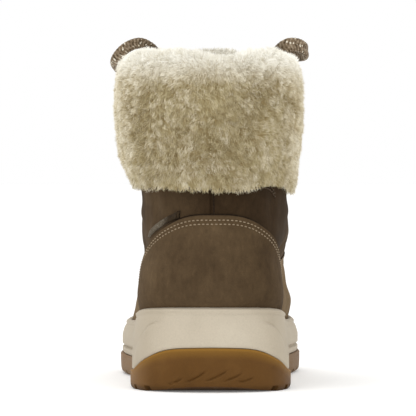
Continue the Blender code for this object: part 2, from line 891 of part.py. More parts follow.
def strap(name, middle, finish):
    """A flat stretch of lace along places that each have the direction its face looks."""
    points = []
    last = len(middle) - 1
    for s, (place, out) in enumerate(middle):
        before, after = middle[max(s - 1, 0)][0], middle[min(s + 1, last)][0]
        across = out.cross(after - before).normalized() * (LACE_WIDE / 2)
        thick = out * (LACE_THICK / 2)
        points += [place - across - thick, place + across - thick]
        points += [place + across + thick, place - across + thick]
    faces = wall_faces(last + 1, 4)
    faces += [(0, 1, 2, 3), tuple(range(4 * last, 4 * last + 4))]
    return solid(name, points, faces, finish)


def lace_bar(name, start, end, lift, finish):
    """Lace over the throat between two (k, v) places."""
    steps = 4
    middle = []
    for s in range(steps + 1):
        share = blend(-0.04, 1.04, s / steps)
        k, v = blend(start[0], end[0], share), blend(start[1], end[1], share)
        bow = CROSSING_BOW * math.sin(math.pi * s / steps)
        middle.append((upper_at(k, v, lift + bow), upper_out(k, v)))
    return strap(name, middle, finish)


def knot_strap(name, start, finish):
    """Lace from a top eyelet up to just short of the knot."""
    steps = 2
    foot, out = upper_at(*start, CROSSING_LIFTS[-1]), upper_out(*start)
    end = KNOT_CENTRE + (foot - KNOT_CENTRE).normalized() * KNOT_CLEAR
    middle = []
    for s in range(steps + 1):
        place = foot.lerp(end, s / steps) + out * CROSSING_BOW * math.sin(math.pi * s / steps)
        middle.append((place, out.lerp(Vector((0.0, 1.0, 0.0)), s / steps).normalized()))
    return strap(name, middle, finish)


def make_crossings(lace):
    """The crossed lace from the lowest eyelets to the knot, joined into one solid."""
    left = [eyelet_place(-1, v) for v in EYELET_ROWS]
    right = [eyelet_place(1, v) for v in EYELET_ROWS]
    level, under, over = CROSSING_LIFTS
    bars = [lace_bar("lace_crossings", left[0], right[0], level, lace)]
    for i in range(len(EYELET_ROWS) - 1):
        bars.append(lace_bar(f"lace_bar_a{i}", left[i], right[i + 1], under, lace))
        bars.append(lace_bar(f"lace_bar_b{i}", right[i], left[i + 1], over, lace))
    bars.append(knot_strap("lace_bar_c0", left[-1], lace))
    bars.append(knot_strap("lace_bar_c1", right[-1], lace))
    return join(bars[0], bars[1:])


def make_tube(name, route, finish):
    """A free stretch of lace along a smooth curve through its route."""
    curve = bpy.data.curves.new(name, "CURVE")
    curve.dimensions = "3D"
    curve.bevel_depth = LACE_TUBE / 2 * MM
    curve.bevel_resolution = 2
    curve.use_fill_caps = True
    line = through(route, 1)
    spline = curve.splines.new("POLY")
    spline.points.add(len(line) - 1)
    for point, place in zip(spline.points, line):
        point.co = (*(place * MM), 1.0)
    curve.materials.append(finish)
    made = bpy.data.objects.new(name, curve)
    bpy.context.scene.collection.objects.link(made)
    return made


def make_knot(lace):
    """The bow's knot, a rounded lump with a waist."""
    rows, sides = 5, 10
    points = [KNOT_CENTRE + Vector((0.0, 0.0, -KNOT_HALF.z))]
    for r in range(1, rows + 1):
        tilt = math.pi * (r / (rows + 1) - 0.5)
        for s in range(sides):
            turn = 2.0 * math.pi * s / sides
            pinch = 1.0 - 0.12 * math.cos(2.0 * turn)
            points.append(
                KNOT_CENTRE
                + Vector(
                    (
                        KNOT_HALF.x * math.cos(tilt) * math.cos(turn),
                        KNOT_HALF.y * math.cos(tilt) * math.sin(turn) * pinch,
                        KNOT_HALF.z * math.sin(tilt),
                    )
                )
            )
    points.append(KNOT_CENTRE + Vector((0.0, 0.0, KNOT_HALF.z)))
    faces = [(0, 1 + (s + 1) % sides, 1 + s) for s in range(sides)]
    faces += [tuple(i + 1 for i in face) for face in wall_faces(rows, sides)]
    top = 1 + (rows - 1) * sides
    faces += [(top + s, top + (s + 1) % sides, top + sides) for s in range(sides)]
    return solid("lace_knot", points, faces, lace)


# --- the boot ------------------------------------------------------------------------------
def main():
    for old in list(bpy.data.objects):
        bpy.data.objects.remove(old)

    gum = material("gum_rubber", (0.19, 0.105, 0.035), 0.55)
    foam = material("cream_foam", (0.61, 0.54, 0.43), 0.6)
    nubuck = material("taupe_nubuck", (0.088, 0.058, 0.032), 0.9)
    fleece = material("cream_fleece", (0.66, 0.58, 0.42), 1.0)
    lining = material("lining", (0.5, 0.42, 0.3), 0.95)
    webbing = material("dark_webbing", (0.045, 0.035, 0.025), 0.85)
    lace = material("lace", (0.17, 0.12, 0.075), 0.85)
    metal = material("eyelet_metal", (0.12, 0.09, 0.06), 0.4, 1.0)

    make_outsole(gum)
    make_midsole(foam)
    make_upper(nubuck)
    make_insole(lining)
    make_tongue(lining)
    make_counter(nubuck)
    make_side_tab(webbing)
    make_cuff(fleece)
    number = 0
    for v in EYELET_ROWS:
        for side in (-1, 1):
            number += 1
            make_eyelet(number, side, v, metal)
    make_crossings(lace)
    make_knot(lace)
    make_tube("lace_loop_lateral", LOOP_LATERAL, lace)
    make_tube("lace_loop_medial", LOOP_MEDIAL, lace)
    make_tube("lace_end_lateral", END_LATERAL, lace)
    make_tube("lace_end_medial", END_MEDIAL, lace)


main()
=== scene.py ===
"""The looks of a left winter boot: taupe nubuck, a deep fleece cuff, a flat woven lace in a bow
and a cream foam sole on gum rubber.

Places and sizes are in millimetres, in the boot's own frame: the origin is the middle of the
heel's flat patch on the ground, +Y runs to the toe, -X is the outer side of the foot, +Z is up.
They are turned into metres where a mesh is made; materials, camera and light work in metres.
"""

import math
from collections import namedtuple

import bmesh
import bpy
import numpy as np
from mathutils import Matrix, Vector


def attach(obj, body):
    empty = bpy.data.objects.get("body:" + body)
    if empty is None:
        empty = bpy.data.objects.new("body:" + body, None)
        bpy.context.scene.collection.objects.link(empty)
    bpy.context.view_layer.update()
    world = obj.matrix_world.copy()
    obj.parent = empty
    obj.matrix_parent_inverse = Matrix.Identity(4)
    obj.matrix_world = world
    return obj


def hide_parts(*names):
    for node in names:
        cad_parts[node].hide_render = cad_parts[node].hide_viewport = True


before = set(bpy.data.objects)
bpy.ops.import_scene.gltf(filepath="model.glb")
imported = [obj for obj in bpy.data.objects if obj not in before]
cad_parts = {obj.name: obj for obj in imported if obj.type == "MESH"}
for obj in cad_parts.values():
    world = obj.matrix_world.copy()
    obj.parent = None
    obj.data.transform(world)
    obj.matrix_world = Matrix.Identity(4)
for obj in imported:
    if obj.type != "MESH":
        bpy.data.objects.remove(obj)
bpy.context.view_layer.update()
scene = bpy.context.scene
MM = 0.001
SEED = 11


def table(kind, *rows):
    """Rows of a table whose columns are named by their kind."""
    return [kind(*row) for row in rows]


# --- the boot's form, the same tables as its solids -----------------------------------------
GAP = 0.4
GUM_WALL = 2.6
GUM_FLOOR = 5.5
LUG_DEPTH = 3.0
UPPER_WALL = 2.2
LASTING_MARGIN = 8.0
UPPER_FOOT_INSET = 1.0
INSOLE_THICK = 4.5
INSOLE_INSET = 1.2
INSOLE_LIFT = 1.9
COLLAR_Z = 184.0
CUFF_LEAN = 2.8
CUFF_FRONT_GAP = 40.0
CUFF_DIP = 4.5
TONGUE_TOP_Z = 202.0
TONGUE_HALF = 24.0
TONGUE_LOW_LEVEL = 7.6
TONGUE_UNDER = (3.4, 6.6)
TONGUE_CORNER = 5.0
THROAT_LOW_Z = 78.0
THROAT_LOW_HALF = 10.0
THROAT_TOP_HALF = 15.0
LACE_WIDE = 6.0
LACE_THICK = 1.7
BRAID_PITCH = 1.9
BRAID_DEEP = 0.15
BRAID_SLANT = 0.45
LACE_HALF = LACE_WIDE / 2

Station = namedtuple("Station", "y lateral medial")
SOLE_OUTLINE = table(
    Station, (-40.0, 0.0, 0.0), (-35.5, -22.0, 22.0), (-22.0, -38.5, 38.5), (2.0, -46.9, 46.0),
    (35.0, -46.4, 44.2), (72.0, -44.4, 39.5), (108.0, -49.8, 42.8), (140.0, -56.4, 49.6),
    (170.0, -57.9, 54.2), (198.0, -52.0, 51.4), (221.0, -37.5, 40.8), (237.0, -16.5, 22.5),
    (242.0, 3.5, 3.5),
)

Height = namedtuple("Height", "y z")
UNDERSIDE = table(
    Height, (-40.0, 3.5), (-30.0, 1.0), (-20.0, 0.0), (45.0, 0.0), (62.0, 2.2), (80.0, 4.5),
    (98.0, 3.0), (115.0, 0.0), (182.0, 0.0), (200.0, 1.8), (215.0, 5.0), (230.0, 9.6),
    (242.0, 15.0),
)
GUM_TOP = table(
    Height, (-40.0, 25.4), (-35.5, 24.6), (-22.0, 18.6), (2.0, 11.0), (35.0, 10.6), (72.0, 11.5),
    (150.0, 12.9), (200.0, 14.5), (225.0, 18.5), (242.0, 25.0),
)
RIM = table(
    Height, (-40.0, 48.6), (-22.0, 47.6), (2.0, 45.0), (35.0, 41.0), (72.0, 36.8), (108.0, 34.4),
    (150.0, 33.6), (200.0, 34.8), (225.0, 37.2), (242.0, 40.0),
)
BED = table(
    Height, (-40.0, 34.0), (2.0, 33.0), (35.0, 31.0), (72.0, 27.0), (108.0, 23.5), (150.0, 21.5),
    (200.0, 23.0), (225.0, 26.5), (242.0, 30.0),
)

Groove = namedtuple("Groove", "first_y step count wide sweep")
GROOVES = table(
    Groove,
    (-21.0, 14.0, 5, 4.5, 4.0),
    (122.0, 16.0, 7, 5.0, 12.0),
)
GROOVE_REACH = 66.0

Side = namedtuple("Side", "share heel fore")
GUM_SIDE = table(
    Side, (0.00, 1.4, 3.2), (0.14, 0.3, 0.8), (0.35, 0.0, 0.2), (0.75, 0.0, 0.0),
    (1.00, 0.5, 0.3),
)
FOAM_SIDE = table(
    Side, (0.00, 0.9, 1.2), (0.14, 1.0, 1.2), (0.20, 1.0, 2.8), (0.28, 1.1, 1.1),
    (0.48, 1.5, 1.1), (0.68, 2.2, 2.0), (0.86, 3.0, 3.4), (0.96, 3.6, 4.5), (1.00, 4.6, 5.3),
)
RECESS_HEEL = 7.2
RECESS_FORE = 7.0

Ring = namedtuple("Ring", "back_y back_z front_y front_z heel fore oval half middle")
UPPER_RINGS = table(
    Ring,
    (-37.6, 54.5, 232.5, 42.0, 1.0, -0.7, 0.00, 42.0, 2.3),
    (-38.0, 63.0, 230.5, 52.0, 0.8, -2.8, 0.04, 43.4, 1.8),
    (-37.4, 71.0, 221.5, 62.0, 0.0, -3.6, 0.12, 44.2, 1.5),
    (-36.6, 77.0, 208.0, 68.0, -0.6, -4.5, 0.28, 45.2, 1.8),
    (-35.6, 82.5, 190.0, 72.5, -0.6, -5.4, 0.44, 45.8, 2.4),
    (-34.6, 88.0, 170.0, 79.0, -0.4, -5.1, 0.62, 46.1, 2.6),
    (-33.4, 94.0, 150.0, 87.5, 0.0, -4.6, 0.80, 45.4, 2.4),
    (-32.4, 101.0, 130.0, 98.0, 0.0, -3.4, 0.94, 44.1, 1.9),
    (-31.8, 109.0, 113.0, 109.5, 0.0, 0.0, 1.00, 43.1, 1.5),
    (-31.6, 119.0, 103.0, 121.0, 0.0, 0.0, 1.00, 42.8, 1.3),
    (-32.0, 135.0, 97.0, 136.5, 0.0, 0.0, 1.00, 42.8, 1.1),
    (-33.0, 152.0, 94.0, 152.5, 0.0, 0.0, 1.00, 42.8, 0.9),
    (-34.0, 168.0, 93.5, 168.0, 0.0, 0.0, 1.00, 42.8, 0.8),
    (-35.0, COLLAR_Z, 95.0, COLLAR_Z, 0.0, 0.0, 1.00, 42.8, 0.8),
)
OVAL_POWER = 2.3

COUNTER_EDGE = table(
    Height, (-34.0, 101.2), (-31.5, 100.0), (-28.0, 98.2), (-20.0, 94.0), (-11.0, 89.2),
    (-3.0, 84.4), (3.0, 79.4), (9.0, 72.0), (16.0, 63.0), (24.0, 55.0), (32.0, 48.0),
)

TAB_BACK_X = -19.0
TAB_FRONT_X = -33.5
TAB_WIDE = 5.8
TAB_ABOVE = 2.4

EYELET_ROWS = (8.6, 9.8, 11.1, 12.6, 13.9, 15.2)
EYELET_FROM_EDGE = 7.0
EYELET_LIFT = 0.8
EYELET_INSIDE = -2.2  # where a bar of the lace begins and ends, under the leather's outside

KNOT_CENTRE = (0.0, 98.0, 182.0)
# The two loops of the bow lie up to 4 mm off their solids.
LOOP_LATERAL = [
    (-8.0, 98.5, 184.5), (-16.5, 101.0, 186.0), (-25.0, 102.2, 189.4), (-32.2, 102.1, 195.4),
    (-38.2, 100.2, 201.6), (-44.8, 96.8, 204.2), (-52.4, 94.6, 201.4), (-57.9, 95.4, 195.8),
    (-59.6, 100.6, 190.8), (-57.2, 108.3, 187.2), (-51.2, 114.3, 185.4), (-42.4, 115.7, 184.6),
    (-33.4, 113.7, 183.8), (-25.0, 109.8, 182.6), (-16.8, 105.3, 181.5), (-8.5, 101.0, 180.0),
]
LOOP_MEDIAL = [
    (8.0, 98.5, 184.5), (15.6, 102.9, 185.4), (23.1, 107.3, 186.4), (30.5, 111.5, 189.2),
    (37.6, 115.0, 192.8), (45.2, 115.6, 196.4), (51.8, 112.5, 197.2), (55.8, 105.2, 197.8),
    (56.8, 97.0, 200.2), (52.4, 91.0, 202.8), (46.2, 89.0, 202.8), (40.6, 91.0, 199.2),
    (35.5, 95.6, 192.8), (27.0, 99.0, 187.0), (17.6, 100.5, 182.9), (8.5, 101.0, 180.0),
]
END_LATERAL = [
    (-4.5, 102.0, 176.0), (-8.3, 103.4, 164.7), (-11.8, 103.5, 153.3), (-15.0, 104.3, 141.7),
    (-17.5, 106.8, 130.0),
]
END_MEDIAL = [
    (4.5, 102.0, 176.0), (9.0, 103.4, 165.3), (13.2, 103.5, 154.6), (17.0, 104.2, 143.6),
    (20.0, 106.4, 132.5),
]
ROUND = 48  # the measure k of places round the boot runs from 0 at the heel's back to this
HALF_ROUND = 24


# --- numbers ----------------------------------------------------------------------------------
def blend(a, b, share):
    return a + (b - a) * share


def ease(value, low, high):
    """0 below low, 1 above high and smooth between."""
    share = np.clip((value - low) / (high - low), 0.0, 1.0)
    return share * share * (3.0 - 2.0 * share)


def bell(value, width):
    return np.exp(-((value / width) ** 2))


def height_at(heights, y):
    """Smooth heights for places along Y that never overshoot the table's own."""
    ys, zs = np.array(heights).T
    y = np.clip(y, ys[0], ys[-1])
    slopes = np.diff(zs) / np.diff(ys)
    before = np.concatenate([slopes[:1], slopes])
    after = np.concatenate([slopes, slopes[-1:]])
    product = before * after
    total = np.where(product > 0.0, before + after, 1.0)
    ends = np.where(product > 0.0, 2.0 * product / total, 0.0)
    k = np.clip(np.searchsorted(ys, y) - 1, 0, len(ys) - 2)
    width = ys[k + 1] - ys[k]
    t = (y - ys[k]) / width
    return (
        zs[k] * (1 + 2 * t) * (1 - t) ** 2
        + ends[k] * width * t * (1 - t) ** 2
        + zs[k + 1] * t * t * (3 - 2 * t)
        + ends[k + 1] * width * t * t * (t - 1)
    )


def smooth_weights(t):
    """Shares of the four neighbours of a place on a smooth curve."""
    return (
        (-t + 2 * t**2 - t**3) / 2,
        (2 - 5 * t**2 + 3 * t**3) / 2,
        (t + 4 * t**2 - 3 * t**3) / 2,
        (-(t**2) + t**3) / 2,
    )


def through(points, at, closed=False):
    """Places along a smooth curve through the points, at being measured in points."""
    points = np.asarray(points, float)
    count = len(points)
    first = np.floor(at).astype(int)
    if not closed:
        first = np.clip(first, 0, count - 2)
    total = 0.0
    for step, weight in zip((-1, 0, 1, 2), smooth_weights(at - first)):
        index = first + step
        index = index % count if closed else np.clip(index, 0, count - 1)
        total = total + weight[..., None] * points[index]
    return total


def unit(vectors):
    return vectors / np.maximum(np.linalg.norm(vectors, axis=-1, keepdims=True), 1e-9)


def walk(points):
    """How far along a line of points each of them is."""
    steps = np.linalg.norm(np.diff(points, axis=0), axis=1)
    return np.concatenate([[0.0], np.cumsum(steps)])


def stops_at(points, far, at):
    """Places on a line of points at distances along it."""
    return np.column_stack([np.interp(at, far, points[:, i]) for i in range(3)])


def turns(sides):
    """The angles of a ring's points."""
    return 2 * math.pi * np.arange(sides) / sides


def noise(points, scale, seed=0.0):
    """Soft repeatable noise from -1 to 1 made of a few crossed waves."""
    x, y, z = np.moveaxis(np.asarray(points) / scale + seed, -1, 0)
    waves = np.sin(1.7 * x + 1.3 * np.sin(0.9 * y + seed) + 0.4 * z)
    waves = waves + np.sin(1.9 * y + 1.1 * np.sin(1.3 * z + 2.0 * seed) + 0.7 * x)
    return (waves + np.sin(1.6 * z + 1.2 * np.sin(1.1 * x + 0.5) + 0.9 * y)) / 3.0


# --- the boot's surfaces ----------------------------------------------------------------------
STATIONS = np.array(
    [(row.lateral, row.y) for row in SOLE_OUTLINE]
    + [(row.medial, row.y) for row in SOLE_OUTLINE[-2:0:-1]]
)


def outline(k):
    """The sole's outline seen from above."""
    return through(STATIONS, np.asarray(k, float) / 2.0, closed=True)


def outward(k):
    along = outline(k + 0.1) - outline(k - 0.1)
    return unit(np.stack([-along[..., 1], along[..., 0]], axis=-1))


def foreness(y):
    """0 at the heel and 1 at the forefoot."""
    return ease(y, 30.0, 105.0)


def recess(y):
    return blend(RECESS_HEEL, RECESS_FORE, foreness(y))


def bed_top(y):
    return height_at(BED, y) + GAP


def side_ring(k, inset, z):
    """A ring round the sole with an inset and a height for each place, or one for all."""
    place = outline(k)
    none = 0.0 * place[:, 1]
    return np.column_stack([place - outward(k) * (inset + none)[:, None], z + none])


def oval_ring(ring, k):
    """A ring of the shaft: a rounded box seen from above."""
    turn = 2.0 * math.pi * k / ROUND
    across, along = -np.sin(turn), -np.cos(turn)
    across = np.sign(across) * np.abs(across) ** (2.0 / OVAL_POWER)
    along = np.sign(along) * np.abs(along) ** (2.0 / OVAL_POWER)
    y = blend(ring.back_y, ring.front_y, 0.5 + 0.5 * along)
    return np.column_stack([ring.middle + ring.half * across, y, 0.0 * y])


def upper_ring(ring, k, lines):
    """A section of the upper, between the foot's outline and the shaft's."""
    foot, ends = (
        base - away * (recess(base[:, 1]) - blend(ring.heel, ring.fore, foreness(base[:, 1])))[:, None]
        for base, away in lines
    )
    low, high = ends[:, 1]
    share = (foot[:, 1] - low) / (high - low)
    x = foot[:, 0] + ring.middle * foreness(foot[:, 1])
    scaled = np.column_stack([x, blend(ring.back_y, ring.front_y, share), 0.0 * x])
    place = blend(scaled, oval_ring(ring, k), ring.oval)
    length = (place[:, 1] - ring.back_y) / (ring.front_y - ring.back_y)
    place[:, 2] = blend(ring.back_z, ring.front_z, length)
    return place


LEVELS = 2 + len(UPPER_RINGS)  # level v of the rim is 2, and of the collar is LEVELS


def upper_rows(k):
    """The upper's sections at places k, from the rim's level up."""
    lines = [(outline(at), outward(at)) for at in (k, np.array([0.0, HALF_ROUND]))]
    y = lines[0][0][:, 1]
    rim = side_ring(k, recess(y) + GAP, height_at(RIM, y))
    return np.array([rim] + [upper_ring(ring, k, lines) for ring in UPPER_RINGS])


def on_rows(rows, v):
    """Points on the upper's sections at levels v."""
    first = np.clip(np.floor(v - 2.0).astype(int), 0, len(rows) - 2)
    total = 0.0
    here = np.arange(rows.shape[1])
    for step, weight in zip((-1, 0, 1, 2), smooth_weights(v - 2.0 - first)):
        index = np.clip(first + step, 0, len(rows) - 1)
        total = total + weight[..., None] * rows[index, here]
    return total


def upper_place(k, v):
    """Points on the upper's outside, for arrays of equal length."""
    return on_rows(upper_rows(k), v)


def upper_out(k, v):
    along = upper_place(k + 0.3, v) - upper_place(k - 0.3, v)
    rows = upper_rows(k)
    top = float(LEVELS)
    up = on_rows(rows, np.minimum(v + 0.15, top)) - on_rows(rows, np.maximum(v - 0.15, 2.0))
    return unit(np.cross(up, along))


def upper_at(k, v, lift):
    """Points at a height over the upper, and their outward directions."""
    out = upper_out(k, v)
    return upper_place(k, v) + out * (lift + 0.0 * k)[:, None], out


HALVINGS = 26


def halve(low, high, is_below):
    """Closes in on places between low and high; is_below tells which of them are too low."""
    for _ in range(HALVINGS):
        middle = (low + high) / 2
        below = is_below(middle)
        low, high = np.where(below, middle, low), np.where(below, high, middle)
    return (low + high) / 2


def level_of(k, z):
    """The level where the upper has height z at place k."""
    rows = upper_rows(k)
    low, high = np.full(len(k), 2.0), np.full(len(k), float(LEVELS))
    return halve(low, high, lambda v: on_rows(rows, v)[:, 2] < z)


def column_of(x, v, low, high):
    """The place from low to high round the upper where it has the side position x."""
    low, high = np.full(len(x), float(low)), np.full(len(x), float(high))
    return halve(low, high, lambda k: upper_place(k, v)[:, 0] < np.asarray(x, float))


def front_column(x, v):
    return column_of(x, v, HALF_ROUND - 9.0, HALF_ROUND + 9.0)


def throat_half(z):
    return blend(THROAT_LOW_HALF, THROAT_TOP_HALF, ease(z, THROAT_LOW_Z, COLLAR_Z))


def ravelled(*axes):
    """Every pair of values from two rows, as two long rows."""
    return (grid.ravel() for grid in np.meshgrid(*axes, indexing="ij"))


def shaft_at(k, z):
    """The shaft's outside and its level outward direction."""
    rows = [ring for ring in UPPER_RINGS if ring.oval >= 1.0]
    heights = np.array([ring.back_z for ring in rows])
    z = np.clip(z, heights[0], heights[-1])
    span = np.clip(np.searchsorted(heights, z) - 1, 0, len(rows) - 2)
    part = (z - heights[span]) / (heights[span + 1] - heights[span])
    here = np.arange(len(k))

    def place(at):
        ovals = np.array([oval_ring(ring, at) for ring in rows])
        return blend(ovals[span, here], ovals[span + 1, here], part[:, None])

    along = place(k + 0.2) - place(k - 0.2)
    away = unit(np.column_stack([-along[:, 1], along[:, 0], 0.0 * k]))
    return place(k), away


# --- meshes -----------------------------------------------------------------------------------
def link(name, data):
    made = bpy.data.objects.new(name, data)
    scene.collection.objects.link(made)
    return made


def outward_mesh(name, points, faces):
    """A mesh in metres from points in millimetres, its faces looking outward."""
    mesh = bpy.data.meshes.new(name)
    mesh.from_pydata(np.asarray(points, float).reshape(-1, 3) * MM, [], faces)
    work = bmesh.new()
    work.from_mesh(mesh)
    bmesh.ops.recalc_face_normals(work, faces=work.faces)
    work.to_mesh(mesh)
    work.free()
    return mesh


def declare(made, solid=None):
    """Hides the solid, if any, that a piece stands for."""
    if solid:
        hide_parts(solid)


def make_mesh(name, points, faces, finish, solid=None, sharp=None):
    """A smooth piece of the boot."""
    mesh = outward_mesh(name, points, faces)
    mesh.shade_smooth()
    if sharp is not None:
        mesh.set_sharp_from_angle(angle=math.radians(sharp))
    mesh.materials.append(finish)
    made = link(name, mesh)
    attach(made, "root")
    declare(made, solid)
    return made


def mark_points(mesh, name, values):
    """A number on each point of a mesh, for its material to read."""
    mark = mesh.attributes.new(name, "FLOAT", "POINT")
    mark.data.foreach_set("value", np.asarray(values, np.float32).ravel())


def grid_faces(rows, columns, closed=False, start=0):
    """Quads over a grid of points, closed or open from its last column to its first."""
    r = np.arange(rows - 1)[:, None] * columns
    c = np.arange(columns if closed else columns - 1)[None, :]
    after = (c + 1) % columns
    quads = np.stack([r + c, r + after, r + columns + after, r + columns + c], axis=-1)
    return (quads.reshape(-1, 4) + start).tolist()


def tube_faces(rows, sides, start=0):
    """Rings of points joined to a tube, with a flat cap on each end."""
    caps = [[start + first + s for s in range(sides)] for first in (0, (rows - 1) * sides)]
    return grid_faces(rows, sides, closed=True, start=start) + caps


def cap_faces(first, columns):
    """Rungs that close a ring round the foot whose columns mirror each other."""
    half, last = columns // 2, first + columns
    faces = [(first, first + 1, last - 1)]
    faces += [(first + c, first + c + 1, last - c - 1, last - c) for c in range(1, half - 1)]
    return faces + [(first + half - 1, first + half, first + half + 1)]


def sheet_faces(rows, columns):
    """Both sides and the edge of a sheet whose second side's points follow the first's."""
    size = rows * columns
    lower = [face[::-1] for face in grid_faces(rows, columns)]
    upper = grid_faces(rows, columns, start=size)
    edge = list(range(columns))
    edge += [r * columns + columns - 1 for r in range(1, rows)]
    edge += [(rows - 1) * columns + c for c in range(columns - 2, -1, -1)]
    edge += [r * columns for r in range(rows - 2, 0, -1)]
    walls = [(a, b, b + size, a + size) for a, b in zip(edge, edge[1:] + edge[:1])]
    return lower + upper + walls


def make_tray(name, rows, finish, solid, sharp=None):
    """A piece of rings round the foot, closed across the first and the last."""
    count = len(rows[0])
    faces = grid_faces(len(rows), count, closed=True)
    faces += cap_faces(0, count) + cap_faces((len(rows) - 1) * count, count)
    return make_mesh(name, np.array(rows), faces, finish, solid, sharp)


def around(fine, coarse, fine_half):
    """Places round the boot, close together near the heel's back, mirrored about it."""
    near = np.arange(0.0, fine_half, fine)
    far = np.linspace(fine_half, HALF_ROUND, int((HALF_ROUND - fine_half) / coarse) + 1)
    half = np.concatenate([near, far])
    return np.concatenate([half, ROUND - half[-2:0:-1]])


def apply_modifiers(made):
    seen = made.evaluated_get(bpy.context.evaluated_depsgraph_get())
    mesh = bpy.data.meshes.new_from_object(seen)
    made.modifiers.clear()
    made.data = mesh


def cut_with(made, points, faces):
    """Cuts a closed form out of a piece."""
    cutter = link("cutter", outward_mesh("cutter", points, faces))
    modifier = made.modifiers.new("cut", "BOOLEAN")
    modifier.operation = "DIFFERENCE"
    modifier.object = cutter
    apply_modifiers(made)
    bpy.data.objects.remove(cutter)


# --- materials --------------------------------------------------------------------------------
def linear(colour):
    """A linear colour from the 0 to 255 values a screen shows."""
    return tuple(
        c / 12.92 if c <= 0.04045 else ((c + 0.055) / 1.055) ** 2.4
        for c in (value / 255.0 for value in colour)
    ) + (1.0,)


class Finish:
    """A Principled material with short calls for its nodes."""

    def __init__(self, name, roughness, **sockets):
        self.material = bpy.data.materials.new(name)
        self.material.use_nodes = True
        self.tree = self.material.node_tree
        self.shader = self.tree.nodes["Principled BSDF"]
        self.shader.inputs["Roughness"].default_value = roughness
        for socket, value in sockets.items():
            self.shader.inputs[socket.replace("_", " ")].default_value = value
        self.place = self.node("ShaderNodeTexCoord").outputs["Object"]
        self.height = None

    def node(self, kind, **settings):
        made = self.tree.nodes.new(kind)
        for name, value in settings.items():
            setattr(made, name, value)
        return made

    def link(self, source, target):
        self.tree.links.new(source, target)

    def noise(self, size, detail=3.0, rough=0.55, stretch=(1.0, 1.0, 1.0), distort=0.0):
        """Noise with features of a size in millimetres."""
        spread = self.node("ShaderNodeMapping")
        spread.inputs["Scale"].default_value = stretch
        self.link(self.place, spread.inputs["Vector"])
        made = self.node("ShaderNodeTexNoise")
        made.inputs["Scale"].default_value = 1.0 / (size * MM)
        made.inputs["Detail"].default_value = detail
        made.inputs["Roughness"].default_value = rough
        made.inputs["Distortion"].default_value = distort
        self.link(spread.outputs["Vector"], made.inputs["Vector"])
        return made.outputs["Fac"]

    def cells(self, size):
        made = self.node("ShaderNodeTexVoronoi")
        made.inputs["Scale"].default_value = 1.0 / (size * MM)
        self.link(self.place, made.inputs["Vector"])
        return made.outputs["Distance"]

    def ramp(self, value, stops):
        """Colours, each as (place, screen colour), or greys as (place, value)."""
        made = self.node("ShaderNodeValToRGB")
        made.color_ramp.interpolation = "EASE"
        points = made.color_ramp.elements
        while len(points) < len(stops):
            points.new(0.5)
        for point, (place, colour) in zip(points, stops):
            point.position = place
            grey = isinstance(colour, float)
            point.color = (colour, colour, colour, 1.0) if grey else linear(colour)
        self.link(value, made.inputs["Fac"])
        return made.outputs["Color"]

    def range(self, value, low, high, to_low=0.0, to_high=1.0):
        made = self.node("ShaderNodeMapRange", interpolation_type="SMOOTHSTEP")
        for socket, number in zip(made.inputs[1:5], (low, high, to_low, to_high)):
            socket.default_value = number
        self.link(value, made.inputs["Value"])
        return made.outputs["Result"]

    def math(self, operation, a, b=0.0):
        made = self.node("ShaderNodeMath", operation=operation)
        for socket, value in zip(made.inputs, (a, b)):
            self.feed(socket, value)
        return made.outputs["Value"]

    def times(self, a, b):
        return self.math("MULTIPLY", a, b)

    def plus(self, a, b):
        return self.math("ADD", a, b)

    def mix(self, a, b, share, how="MIX"):
        made = self.node("ShaderNodeMix", data_type="RGBA", blend_type=how)
        for index, value in ((0, share), (6, a), (7, b)):
            self.feed(made.inputs[index], value)
        return made.outputs[2]

    def overlay(self, a, b, share):
        return self.mix(a, b, share, "OVERLAY")

    def split(self, source):
        parts = self.node("ShaderNodeSeparateXYZ")
        self.link(source, parts.inputs["Vector"])
        return parts.outputs["X"], parts.outputs["Y"], parts.outputs["Z"]

    def uv(self):
        return self.split(self.node("ShaderNodeUVMap").outputs["UV"])[:2]

    def attribute(self, name):
        return self.node("ShaderNodeAttribute", attribute_name=name).outputs["Fac"]

    def feed(self, socket, value):
        if isinstance(value, (tuple, int, float)):
            socket.default_value = value
        else:
            self.link(value, socket)

    def colour(self, source):
        self.link(source, self.shader.inputs["Base Color"])

    def roughness(self, source):
        self.link(source, self.shader.inputs["Roughness"])

    def glow(self, source, strength):
        self.link(source, self.shader.inputs["Emission Color"])
        self.shader.inputs["Emission Strength"].default_value = strength

    def relief(self, source, depth, strength=1.0):
        """Bump of a depth in millimetres, on top of any added before."""
        made = self.node("ShaderNodeBump")
        made.inputs["Strength"].default_value = strength
        made.inputs["Distance"].default_value = depth * MM
        self.link(source, made.inputs["Height"])
        if self.height is not None:
            self.link(self.height, made.inputs["Normal"])
        self.height = made.outputs["Normal"]
        self.link(self.height, self.shader.inputs["Normal"])


VAMP_TINT = (112, 94, 70)
VAMP_REACH = 5.0  # the upper's mark for the vamp is this at its edge, and zero well outside


